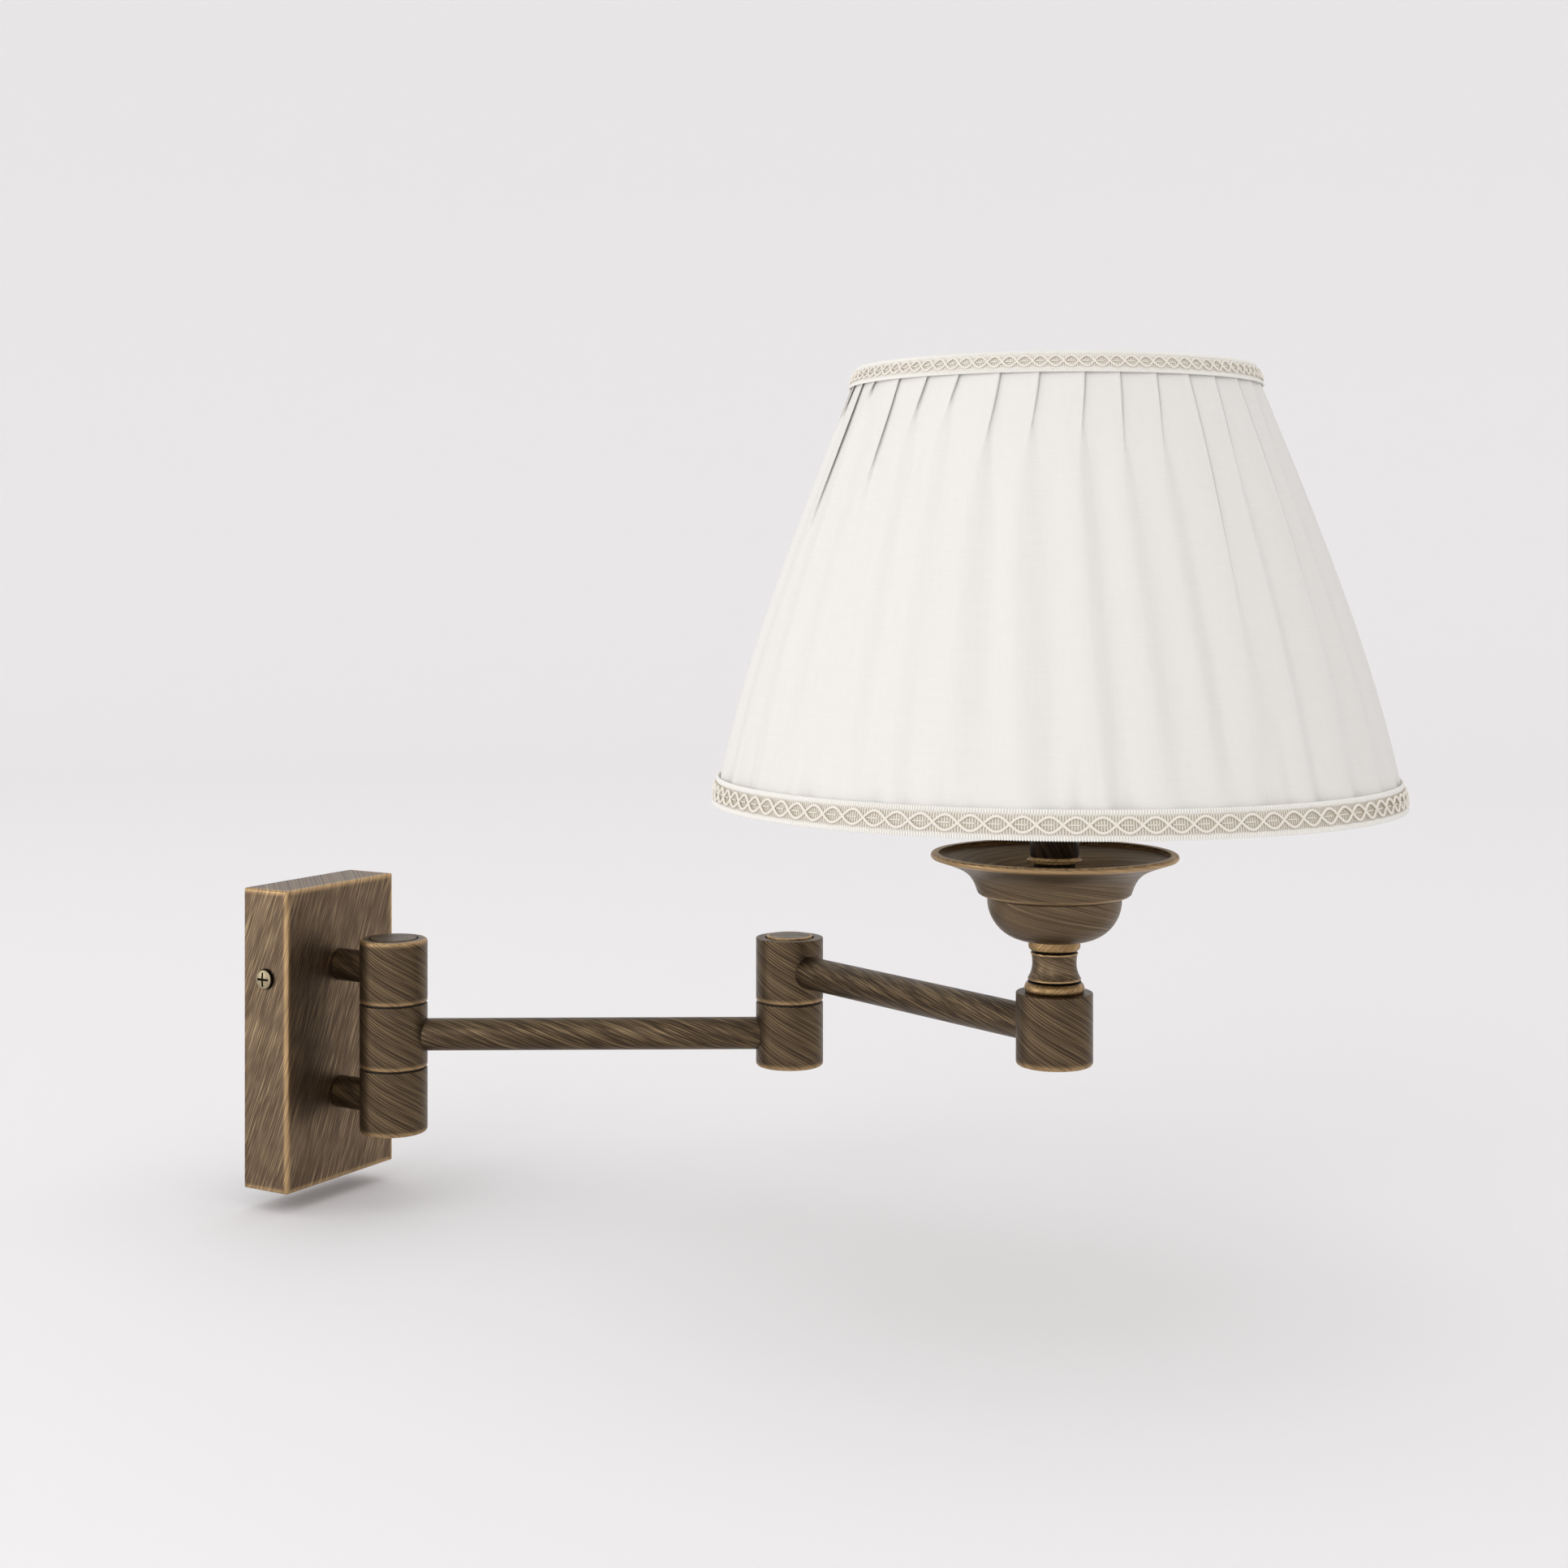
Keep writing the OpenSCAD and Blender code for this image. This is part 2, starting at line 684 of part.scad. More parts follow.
module neck_collar_upper() {
    z = barrel_top + collar_lower_h + spool_h;
    color(worn_bronze) at_post() turned(concat(
        [[nipple_hole_r, z], [9.3, z], [9.3, z + 0.3], [10.4, z + 0.4]],
        curve([10.4, z + 0.4], [11.1, z + 0.7], [11.4, z + 1.6], [11.4, z + 2.6], 6),
        [[11.4, dish_bottom], [nipple_hole_r, dish_bottom]]
    ));
}

// The dish: a bowl, a step and a flare, spun from sheet; set in gives the inner face
function dish_outline(inset) =
    let (step_z = bowl_z + 0.7)
    concat(
        arc([bowl_flat, bowl_z], bowl_r - inset, -90, 1, 12),
        curve(
            [29.4 - inset, step_z + inset * 0.4], [30.4 - inset, step_z + 1 + inset * 0.4],
            [33.9 - inset, step_z + 1 + inset * 0.2], [33.9 - inset, step_z + 3.2], 5
        ),
        curve(
            [34 - inset, step_z + 3.4], [36.4 - inset, bowl_z + 11.7],
            [40 - inset * 0.4, bowl_z + 13.5 + inset], [dish_r - 2.8, bowl_z + 17.2 + inset], 10
        )
    );

module dish() {
    rim_z = dish_bottom + 38.3;
    lip_r = 1.3;
    color(bronze) at_post() turned(concat(
        [[nipple_hole_r, dish_bottom]],
        dish_outline(0),
        arc([dish_r - lip_r, rim_z - lip_r], lip_r, -50, 90, 8),
        [[dish_r - 3.6, rim_z - 0.2]],
        reversed(dish_outline(dish_wall)),
        [[nipple_hole_r, dish_bottom + dish_wall]]
    ));
}

module post_nipple() {
    low = barrel_top - floor_t - nipple_nut_h - 1.2;
    color(brass) at_post() translate([0, 0, low]) ring(nipple_r, nipple_bore_r, holder_z + 7 - low);
}

module nipple_nuts() {
    color(brass) at_post() {
        translate([0, 0, barrel_top - floor_t - nipple_nut_h])
            hex_nut(nipple_nut_af, nipple_hole_r, nipple_nut_h);
        translate([0, 0, ring_z + 1]) hex_nut(nipple_nut_af, nipple_hole_r, nipple_nut_h);
    }
}

module pillar_spacer() {
    z = dish_bottom + dish_wall;
    color(bronze) at_post() translate([0, 0, z]) ring(spacer_r, nipple_hole_r, ring_z - z);
}

module pillar_base_ring() {
    lip_r = pillar_d / 2 + 1.5;
    color(worn_bronze) at_post() turned(concat(
        [[nipple_hole_r, ring_z], [lip_r, ring_z], [lip_r, ring_z + 0.8]],
        curve(
            [lip_r, ring_z + 0.8], [lip_r - 0.9, ring_z + 1],
            [lip_r - 1.2, ring_z + 1.4], [lip_r - 1.2, pillar_z], 5
        ),
        [[spacer_r, pillar_z], [spacer_r, ring_z + 1], [nipple_hole_r, ring_z + 1]]
    ));
}

module pillar_tube() {
    color(bronze) at_post() translate([0, 0, pillar_z])
        ring(pillar_d / 2, pillar_d / 2 - 1.2, holder_z - pillar_z);
}

// ---------------------------------------------------------------- lampholder and bulb

module lampholder_cap() {
    z = holder_z;
    color(bakelite) at_post() turned(concat(
        [[nipple_hole_r, z], [12, z]],
        curve([12, z], [16.5, z + 1], [holder_r, z + 5], [holder_r, z + 12], 8),
        [[holder_r, body_z], [holder_r - 2.2, body_z]],
        curve([holder_r - 2.2, z + 12], [holder_r - 2.2, z + 6], [14, z + 3], [10.5, z + 2.4], 6),
        [[7.5, z + 2.4], [7.5, z + 8], [nipple_hole_r, z + 8]]
    ));
}

module lampholder_body() {
    lip = seat_z + 22;
    color(bakelite) at_post() turned([
        [1.6, seat_z - 5], [holder_r - 2.2, seat_z - 5], [holder_r - 2.2, body_z], [holder_r, body_z],
        [holder_r, lip - 0.6], [holder_r - 0.6, lip], [14.4, lip], [14.4, seat_z], [1.6, seat_z]
    ]);
}

module lampholder_shell() {
    color(brass) at_post() translate([0, 0, seat_z]) ring(14.3, 13.5, 19.8);
}

module lampholder_contact() {
    color(brass) at_post() turned([
        [0, seat_z - 6], [3, seat_z - 6], [3, seat_z - 5], [1.55, seat_z - 5], [1.55, seat_z],
        [4, seat_z], [4, seat_z + 0.9], [2.5, bulb_z], [0, bulb_z]
    ]);
}

// Two ring nuts that clamp the shade's fitter on the lampholder
module shade_ring_nuts() {
    color(bakelite) at_post() {
        translate([0, 0, fitter_z - fitter_t / 2 - 4]) ring(27.5, holder_r + fit, 4);
        translate([0, 0, fitter_z + fitter_t / 2]) ring(27.5, holder_r + fit, 4);
    }
}

module bulb_cap() {
    color("#c9cccf") at_post() turned([
        [0, bulb_z], [5, bulb_z], [6, bulb_z + 1], [8, bulb_z + 1.6], [13.1, bulb_z + 5], [13.1, bulb_z + 25.5],
        [12.4, bulb_z + 25.5], [12.4, bulb_z + 6], [0, bulb_z + 3]
    ]);
}

// Bulb outline, set in by the glass's thickness for its inner face: a neck, a flare and a globe
function bulb_outline(inset) =
    let (
        globe_from = -25,
        joint = [0, bulb_centre] + (bulb_r - inset) * [cos(globe_from), sin(globe_from)],
        slope = [-sin(globe_from), cos(globe_from)]
    )
    concat(
        [[12.3 - inset, bulb_z + 20]],
        curve([12.3 - inset, bulb_z + 26], [12.3 - inset, bulb_z + 38], joint - 14 * slope, joint, 10),
        arc([0, bulb_centre], bulb_r - inset, globe_from + 6, 90, 16)
    );

module bulb_glass() color("#f7f5ee") at_post() turned(concat(bulb_outline(0), reversed(bulb_outline(1))));

// ---------------------------------------------------------------- shade

// Height above the shade's lower edge where the fitter's spokes meet the struts
function spoke_h() = fitter_z - shade_z;

module rim_wire(z) {
    rotate_extrude() translate([shade_r(z) - frame_in, shade_z + z]) circle(r = rim_wire_r, $fn = 24);
}

module shade_rings() {
    color(ivory) at_post() {
        rim_wire(rim_wire_r + 0.5);
        rim_wire(shade_h - rim_wire_r - 0.5);
    }
}

module shade_struts() {
    steps = 8;
    low = 2 * rim_wire_r + 0.5;
    high = shade_h - low;
    route = [
        for (i = [0:steps])
            let (z = low + (high - low) * i / steps)
            [shade_r(z) - frame_in, 0, shade_z + z]
    ];
    color(ivory) at_post() for (k = [0:struts - 1])
        rotate([0, 0, 360 * (k + 0.5) / struts]) wire(route, 2 * strut_r, [0, 1, 0], 8);
}

module shade_fitter() {
    reach = shade_r(spoke_h()) - frame_in - strut_r;
    color(ivory) at_post() {
        difference() {
            union() {
                translate([0, 0, fitter_z - fitter_t / 2]) cylinder(r = 26, h = fitter_t);
                for (k = [0:spokes - 1]) rotate([0, 0, spoke_angle(k)])
                    translate([22, 0, fitter_z]) rotate([0, 90, 0]) cylinder(r = 1.4, h = reach - 22, $fn = 24);
            }
            translate([0, 0, fitter_z - fitter_t]) cylinder(r = 20, h = 2 * fitter_t);
        }
    }
}

// Spokes go to every strut that is nearest to a third of a turn
function spoke_angle(k) = 360 * (floor(k * struts / spokes + 0.5) + 0.5) / struts;

module shade_lining() {
    low = 1;
    high = shade_h - 1;
    color(ivory) at_post() difference() {
        turned(concat(
            shade_outline(lining_in, low, high),
            reversed(shade_outline(lining_in + lining_t, low, high))
        ));
        for (k = [0:spokes - 1]) rotate([0, 0, spoke_angle(k)])
            translate([100, 0, fitter_z]) rotate([0, 90, 0]) cylinder(r = 2.2, h = 60, $fn = 24);
    }
}

module shade_fabric() {
    color(ivory) at_post() turned(concat(
        shade_outline(0, 0, shade_h), reversed(shade_outline(cloth_t, 0, shade_h))
    ));
}

// A braid glued round the fabric between two heights above the shade's lower edge
module trim(low, high) {
    at_post() turned(concat(
        [for (z = [low, (low + high) / 2, high]) [shade_r(z) - fit + trim_t, shade_z + z]],
        [for (z = [high, (low + high) / 2, low]) [shade_r(z) + fit, shade_z + z]]
    ));
}

module trim_bottom() color(beige) trim(-0.4, braid_bottom_w - 0.4);

module trim_top() color(beige) trim(shade_h + 0.4 - braid_top_w, shade_h + 0.4);

// ---------------------------------------------------------------- nodes

backplate_cover();
cover_stiffener();
wall_bracket();
cover_screws();
terminal_block();
terminal_screws();
terminal_wires();
earth_screw();
wall_stub_top();
wall_stub_bottom();
stub_washers();
stub_nuts();
swivel_barrel_top();
swivel_barrel_bottom();
swivel_pivot();
swivel_nuts();
swivel_washers();
swivel_stop_pin();
swivel_cap_top();
swivel_cap_bottom();
wall_flex();
swivel_barrel_middle();
arm_1_tube();
elbow_barrel_lower();
elbow_pivot();
elbow_nuts();
elbow_spring_washer();
elbow_washer();
elbow_stop_pin();
elbow_cap_bottom();
arm_1_flex();
elbow_barrel_upper();
elbow_cap_top();
arm_2_tube();
end_barrel();
end_cap();
neck_collar_lower();
neck_spool();
neck_collar_upper();
dish();
post_nipple();
nipple_nuts();
pillar_spacer();
pillar_base_ring();
pillar_tube();
arm_2_flex();
lampholder_cap();
lampholder_body();
lampholder_shell();
lampholder_contact();
shade_ring_nuts();
bulb_cap();
bulb_glass();
shade_rings();
shade_struts();
shade_fitter();
shade_lining();
shade_fabric();
trim_bottom();
trim_top();
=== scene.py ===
# %% [markdown]
# # A swing arm wall lamp
# This script finishes a lamp that already exists as a imported CAD model. The metal pieces and the bulb
# keep their CAD meshes and get real surfaces; the cloth and the braid are made here. Everything is in
# metres, in the lamp's own frame: the wall is the plane y = 0, -Y points into the room and +Z is up.

# %% The frame
import math

import bpy
import bmesh
import numpy as np
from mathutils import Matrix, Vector


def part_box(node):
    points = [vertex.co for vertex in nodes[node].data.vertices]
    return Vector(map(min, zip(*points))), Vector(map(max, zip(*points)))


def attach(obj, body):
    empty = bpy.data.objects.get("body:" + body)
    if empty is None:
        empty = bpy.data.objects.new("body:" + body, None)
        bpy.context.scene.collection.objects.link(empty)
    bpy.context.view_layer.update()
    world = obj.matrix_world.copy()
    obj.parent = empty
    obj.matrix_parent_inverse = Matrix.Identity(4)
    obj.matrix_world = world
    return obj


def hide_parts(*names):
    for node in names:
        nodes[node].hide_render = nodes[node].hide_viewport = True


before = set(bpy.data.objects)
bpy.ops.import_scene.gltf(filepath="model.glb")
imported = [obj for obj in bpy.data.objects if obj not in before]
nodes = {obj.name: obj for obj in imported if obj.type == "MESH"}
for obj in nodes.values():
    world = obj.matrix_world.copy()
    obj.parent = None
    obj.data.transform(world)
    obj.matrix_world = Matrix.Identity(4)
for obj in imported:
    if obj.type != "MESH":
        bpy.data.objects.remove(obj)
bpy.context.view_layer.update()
MM = 0.001


def middle(node):
    """The middle of a CAD node's box."""
    low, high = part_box(node)
    return (low + high) / 2


swivel = middle("swivel_pivot")
elbow = middle("elbow_pivot")
post = middle("post_nipple")
plate_low, plate_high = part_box("backplate_cover")

# %% [markdown]
# ## The camera
# A product picture of a long thin object is taken from far enough away that the arms don't look
# bent by perspective. A slightly long lens does that, and the camera is kept level so that the
# barrels' sides stay upright. The lens is shifted down instead of tilting the camera.

# %% The camera
camera_data = bpy.data.cameras.new("camera")
camera_data.lens = 52.85
camera_data.sensor_width = 36
camera_data.shift_x = -0.0004
camera_data.shift_y = -0.1388
camera = bpy.data.objects.new("camera", camera_data)
camera.location = (-0.8969, -0.8140, 0.2356)
camera.rotation_euler = (math.radians(90), 0, math.radians(-59.67))
bpy.context.scene.collection.objects.link(camera)
bpy.context.scene.camera = camera
print("camera", camera_data.lens, "mm lens at", tuple(round(v, 3) for v in camera.location))

# %% [markdown]
# ## Two small helpers for materials
# Colours are chosen as sRGB hex values, because that is how people pick them, but Blender's shaders
# want linear light. One function turns one into the other. A second one adds a node to a material,
# sets its values and links its inputs, so that each material below reads as a list of its layers.

# %% Helpers for materials


def linear(hex_colour):
    """An sRGB hex colour such as #6b5c48 as linear red, green, blue and alpha."""
    parts = [int(hex_colour[i:i + 2], 16) / 255 for i in (1, 3, 5)]
    return [c / 12.92 if c <= 0.04045 else ((c + 0.055) / 1.055) ** 2.4 for c in parts] + [1]


def add(tree, kind, links=None, values=None, **settings):
    """Adds one node: its settings, its input values, and links from other nodes' outputs."""
    node = tree.nodes.new(kind)
    for name, value in settings.items():
        setattr(node, name, value)
    for key, value in (values or {}).items():
        node.inputs[key].default_value = value
    for key, source in (links or {}).items():
        tree.links.new(source, node.inputs[key])
    return node


def new_material(name, shader_values):
    """A material whose Principled shader has its own sockets set, with its tree and that shader."""
    material = bpy.data.materials.new(name)
    material.use_nodes = True
    tree = material.node_tree
    shader = tree.nodes["Principled BSDF"]
    for key, value in shader_values.items():
        shader.inputs[key].default_value = value
    return material, tree, shader


def dress(material, *names):
    """Gives CAD nodes a material."""
    for name in names:
        nodes[name].data.materials.clear()
        nodes[name].data.materials.append(material)


# %% [markdown]
# ## The studio
# The lamp hangs in a plain pale room with no wall behind it: a floor that curves up into a backdrop,
# so that no horizon shows. It is lit by a bright, even surround and large soft lamps, because brushed
# metal shows the surround in its surface, and small hard lamps would turn its brush marks into glitter.

# %% The studio
FLOOR_GAP = 10 * MM
FLOOR_RADIUS = 2.6
COVE_RADIUS = 1.4
WALL_HEIGHT = 1.7
floor_z = plate_low.z - FLOOR_GAP


def backdrop():
    """A floor that curves up into a round wall, turned from one outline about the lamp's middle."""
    outline = [(0.0, 0.0), (FLOOR_RADIUS, 0.0)]
    outline += [(FLOOR_RADIUS + COVE_RADIUS * math.sin(a), COVE_RADIUS - COVE_RADIUS * math.cos(a))
                for a in np.linspace(0.1, math.pi / 2, 10)]
    outline += [(FLOOR_RADIUS + COVE_RADIUS, WALL_HEIGHT)]
    centre = Vector((0.05, -0.25, floor_z))
    mesh = bmesh.new()
    verts = [mesh.verts.new(centre + Vector((r, 0, z))) for r, z in outline]
    edges = [mesh.edges.new(pair) for pair in zip(verts, verts[1:])]
    bmesh.ops.spin(mesh, geom=verts + edges, cent=centre, axis=(0, 0, 1), angle=math.tau, steps=64)
    bmesh.ops.remove_doubles(mesh, verts=mesh.verts, dist=1e-4)
    bmesh.ops.recalc_face_normals(mesh, faces=mesh.faces)
    data = bpy.data.meshes.new("backdrop")
    mesh.to_mesh(data)
    data.shade_smooth()
    return bpy.data.objects.new("backdrop", data)


stage = backdrop()
bpy.context.scene.collection.objects.link(stage)
paper = new_material("pale_paper", {
    "Base Color": linear("#f3f1f2"), "Roughness": 0.9, "Specular IOR Level": 0.2})[0]
stage.data.materials.append(paper)

world = bpy.data.worlds.new("studio")
world.use_nodes = True
world.node_tree.nodes["Background"].inputs["Color"].default_value = linear("#fefefe")
world.node_tree.nodes["Background"].inputs["Strength"].default_value = 0.92
bpy.context.scene.view_settings.view_transform = "Standard"
bpy.context.scene.world = world


def soft_lamp(name, place, aim, size, power):
    """A large square lamp that points at a place."""
    data = bpy.data.lights.new(name, "AREA")
    data.size = size
    data.energy = power
    lamp = bpy.data.objects.new(name, data)
    lamp.location = place
    lamp.rotation_euler = (Vector(aim) - Vector(place)).to_track_quat("-Z", "Y").to_euler()
    bpy.context.scene.collection.objects.link(lamp)


soft_lamp("key", (-2.2, -0.5, 1.0), (0.0, -0.25, 0.1), 1.5, 10.5)
soft_lamp("side", (-1.9, 1.75, 0.4), (0.0, 0.0, 0.0), 0.9, 9)
print("floor at", round(floor_z, 3))

# %% [markdown]
# ## Antique bronze
# The lamp is brass that was browned in a bath of oxides and then brushed by hand with a coarse pad, so
# the brown layer is scratched through in fine slanting strokes, and edges that a hand or the pad rubs
# most are worn back to warm bare metal. Anisotropic shading alone gives only the highlight of a
# brushed metal, not its visible strokes. Noise that is squeezed across the strokes and stretched
# along them gives both. Round pieces are brushed while they turn, so their strokes are helices: each
# point is turned about the piece's axis by an angle that grows along it, before the noise is read.
# That has no seam, which a pattern on an unrolled cylinder would have.

# %% How the strokes lie
BROAD_STROKE = (6 * MM, 30 * MM)
MIDDLE_STROKE = (1.2 * MM, 34 * MM)
FINE_STROKE = (0.62 * MM, 24 * MM)
HAIR_STROKE = (0.36 * MM, 14 * MM)


def local_frame(tree, place, axis):
    """A point in a piece's own frame: from its place, with its axis along Z."""
    where = add(tree, "ShaderNodeTexCoord")
    turn = Vector(axis).to_track_quat("Z", "Y").to_euler()
    local = add(tree, "ShaderNodeMapping", {"Vector": where.outputs["Object"]},
                {"Location": place, "Rotation": turn}, vector_type="TEXTURE")
    return local.outputs[0], where.outputs["Normal"]


def wound_round(tree, local, normal, axis, twist):
    """Strokes that wind round a piece by twist radians for each metre, and run straight over its ends."""
    parts = add(tree, "ShaderNodeSeparateXYZ", {0: local})
    angle = add(tree, "ShaderNodeMath", {0: parts.outputs["Z"]}, {1: twist}, operation="MULTIPLY")
    wound = add(tree, "ShaderNodeVectorRotate", {"Vector": local, "Angle": angle.outputs[0]},
                rotation_type="Z_AXIS")
    over_end = add(tree, "ShaderNodeVectorRotate", {"Vector": local},
                   {"Angle": math.radians(90), "Axis": (1, 0.6, 0)}, rotation_type="AXIS_ANGLE")
    facing = add(tree, "ShaderNodeVectorMath", {0: normal}, {1: axis}, operation="DOT_PRODUCT")
    endways = add(tree, "ShaderNodeMath", {0: facing.outputs["Value"]}, operation="ABSOLUTE")
    is_end = add(tree, "ShaderNodeMath", {0: endways.outputs[0]}, {1: 0.9}, operation="GREATER_THAN")
    lie = add(tree, "ShaderNodeMix", {0: is_end.outputs[0], 4: wound.outputs[0], 5: over_end.outputs[0]},
              data_type="VECTOR")
    return lie.outputs[1]


def onto_cylinder(tree, local, radius):
    """Lays a spun piece's outline out along a cylinder, so that strokes cross its flat parts as well."""
    parts = add(tree, "ShaderNodeSeparateXYZ", {0: local})
    flat = add(tree, "ShaderNodeVectorMath", {0: local}, {1: (1, 1, 0)}, operation="MULTIPLY")
    length = add(tree, "ShaderNodeVectorMath", {0: flat.outputs[0]}, operation="LENGTH")
    outwards = add(tree, "ShaderNodeVectorMath", {0: flat.outputs[0]}, operation="NORMALIZE")
    placed = add(tree, "ShaderNodeVectorMath", {0: outwards.outputs[0]}, {3: radius}, operation="SCALE")
    along = add(tree, "ShaderNodeMath", {0: parts.outputs["Z"], 1: length.outputs["Value"]}, operation="ADD")
    up = add(tree, "ShaderNodeCombineXYZ", {2: along.outputs[0]})
    laid = add(tree, "ShaderNodeVectorMath", {0: placed.outputs[0], 1: up.outputs[0]}, operation="ADD")
    return laid.outputs[0]


def slanting_round_a_box(tree, local, lean):
    """Strokes that lean over a box's front and run on round its upright edges, as x minus y does."""
    turned = add(tree, "ShaderNodeVectorRotate", {"Vector": local}, {"Angle": math.radians(45)},
                 rotation_type="Z_AXIS")
    flat = add(tree, "ShaderNodeVectorMath", {0: turned.outputs[0]}, {1: (math.sqrt(2), 0, 1)},
               operation="MULTIPLY")
    leaning = add(tree, "ShaderNodeVectorRotate", {"Vector": flat.outputs[0]}, {"Angle": lean},
                  rotation_type="Y_AXIS")
    return leaning.outputs[0]


def stroke_noise(tree, lie, size, detail):
    """Noise as wide as size[0] across the strokes and as long as size[1] along them."""
    squeezed = add(tree, "ShaderNodeVectorMath", {0: lie},
                   {1: (1 / size[0], 1 / size[0], 1 / size[1])}, operation="MULTIPLY")
    noise = add(tree, "ShaderNodeTexNoise", {"Vector": squeezed.outputs[0]},
                {"Scale": 1.0, "Detail": detail, "Roughness": 0.5})
    return noise.outputs["Fac"]


# %% Brushed antique bronze
BROWN = ("#3d3227", "#483c30", "#544739", "#a58d6a")
LIGHT_BROWN = ("#4d4032", "#594b3c", "#675747", "#b59c77")
PLATE_BROWN = ("#56483a", "#655444", "#756351", "#c0a782")
PALE_BROWN = ("#7f6543", "#977951", "#ab8c62", "#dcc093")
# The next colours are bronze darkened as painted shade, for the pillar that stands in the lampshade's shadow.
PILLAR_PAINTED_SHADE_BROWN = ("#1a1511", "#251d17", "#33291f", "#5a4732")


def brushed_bronze(name, place, axis, twist, rubbed, shade=BROWN, spun_radius=None):
    """Bronze brushed round an axis through a place, or slanting over a box where twist is None.
    spun_radius is the usual radius of a piece whose outline swells, such as the dish.
    rubbed adds the nodes that find the worn edges. shade is its dark, middle, light and bare colour."""
    material, tree, shader = new_material(name, {"Metallic": 1.0})
    local, normal = local_frame(tree, place, axis)
    if twist is None:
        lie = slanting_round_a_box(tree, local, math.radians(22))
    elif spun_radius:
        lie = wound_round(tree, onto_cylinder(tree, local, spun_radius), normal, (0, 0, 0), twist)
    else:
        lie = wound_round(tree, local, normal, axis, twist)
    broad = stroke_noise(tree, lie, BROAD_STROKE, 2.0)
    middle_strokes = stroke_noise(tree, lie, MIDDLE_STROKE, 2.0)
    fine = stroke_noise(tree, lie, FINE_STROKE, 1.0)
    hair = stroke_noise(tree, lie, HAIR_STROKE, 1.0)

    tone = add(tree, "ShaderNodeMix", {2: broad, 3: middle_strokes}, {0: 0.5}, data_type="FLOAT")
    brown = add(tree, "ShaderNodeValToRGB", {0: tone.outputs[0]})
    brown.color_ramp.elements[0].position = 0.34
    brown.color_ramp.elements[0].color = linear(shade[0])
    brown.color_ramp.elements[1].position = 0.66
    brown.color_ramp.elements[1].color = linear(shade[2])
    brown.color_ramp.elements.new(0.5).color = linear(shade[1])
    scratch = add(tree, "ShaderNodeMapRange", {0: fine}, {1: 0.53, 2: 0.74, 3: 0.0, 4: 0.62})
    bare = add(tree, "ShaderNodeMix", {0: scratch.outputs[0], 6: brown.outputs[0]},
               {7: linear(shade[3])}, data_type="RGBA")
    groove = add(tree, "ShaderNodeMapRange", {0: fine}, {1: 0.45, 2: 0.28, 3: 0.0, 4: 0.25})
    grooved = add(tree, "ShaderNodeMix", {0: groove.outputs[0], 6: bare.outputs[2]},
                  {7: linear(shade[0])}, data_type="RGBA")
    glint = add(tree, "ShaderNodeMapRange", {0: hair}, {1: 0.55, 2: 0.75, 3: 0.0, 4: 0.6})
    brushed = add(tree, "ShaderNodeMix", {0: glint.outputs[0], 6: grooved.outputs[2]},
                  {7: linear(shade[3])}, data_type="RGBA")
    colour = brushed.outputs[2]
    if rubbed:
        colour = rubbed(tree, local, fine, colour)
    tree.links.new(colour, shader.inputs["Base Color"])
    rough = add(tree, "ShaderNodeMapRange", {0: middle_strokes}, {1: 0.3, 2: 0.7, 3: 0.5, 4: 0.36})
    tree.links.new(rough.outputs[0], shader.inputs["Roughness"])
    bump = add(tree, "ShaderNodeBump", {"Height": fine}, {"Strength": 0.3, "Distance": 0.05 * MM})
    tree.links.new(bump.outputs[0], shader.inputs["Normal"])
    return material


# %% [markdown]
# ## Where the bronze is worn, and where shade is painted
# Worn edges could be found by the shape itself, with a bevel or pointiness node, but those are slow
# or need a dense mesh. These pieces are simple, so a distance from each piece's own ends and rims
# does it: the closer to an edge, the more bare metal, and the fine strokes break the line up. The same
# distances also paint shade, a near-black colour, into the grooves between pieces and round the screws.

# %% Worn edges and painted shade
barrel_low, barrel_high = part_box("swivel_barrel_middle")
barrel_middle = (barrel_low.z + barrel_high.z) / 2
barrel_half = (barrel_high.z - barrel_low.z) / 2
barrel_radius = (barrel_high.x - barrel_low.x) / 2
cap_low, cap_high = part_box("swivel_cap_top")
lid_radius = (cap_high.x - cap_low.x) / 2 - 0.7 * MM
screw_low, screw_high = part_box("cover_screws")
screw_place = (screw_low + screw_high) / 2
screw_radius = (screw_high.z - screw_low.z) / 2
dish_low, dish_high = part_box("dish")
dish_rim = (dish_high.x - dish_low.x) / 2
SPOOL_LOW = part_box("neck_spool")[0].z - dish_low.z + 0.2 * MM
SPOOL_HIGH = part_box("neck_spool")[1].z - dish_low.z
STEP_HEIGHT = 19.3 * MM
STEP_RADIUS = 33.9 * MM
BARE_METAL = "#ccaa7c"
# The two dark colours below are painted shade: the first for the grooves between pieces, the second for a
# ring round each screw head on the plate.
GROOVE_SHADE_COLOUR = "#15100c"
SCREW_SHADE_COLOUR = "#1f1812"


def near(tree, value, target, full, none):
    """1 where a value is within full of a target, fading to 0 where it is none or more away. In metres."""
    gap = add(tree, "ShaderNodeMath", {0: value}, {1: target}, operation="SUBTRACT")
    distance = add(tree, "ShaderNodeMath", {0: gap.outputs[0]}, operation="ABSOLUTE")
    fade = add(tree, "ShaderNodeMapRange", {0: distance.outputs[0]}, {1: none, 2: full},
               interpolation_type="SMOOTHSTEP")
    return fade.outputs[0]


def worn_back(tree, colour, mask, fine, strength):
    """Bare metal at an edge. It is patchy, because the fine strokes show through it."""
    patchy = add(tree, "ShaderNodeMapRange", {0: fine}, {1: 0.32, 2: 0.62, 3: 0.3 * strength, 4: strength})
    wear = add(tree, "ShaderNodeMath", {0: mask, 1: patchy.outputs[0]}, operation="MULTIPLY")
    worn = add(tree, "ShaderNodeMix", {0: wear.outputs[0], 6: colour}, {7: linear(BARE_METAL)},
               data_type="RGBA")
    return worn.outputs[2]


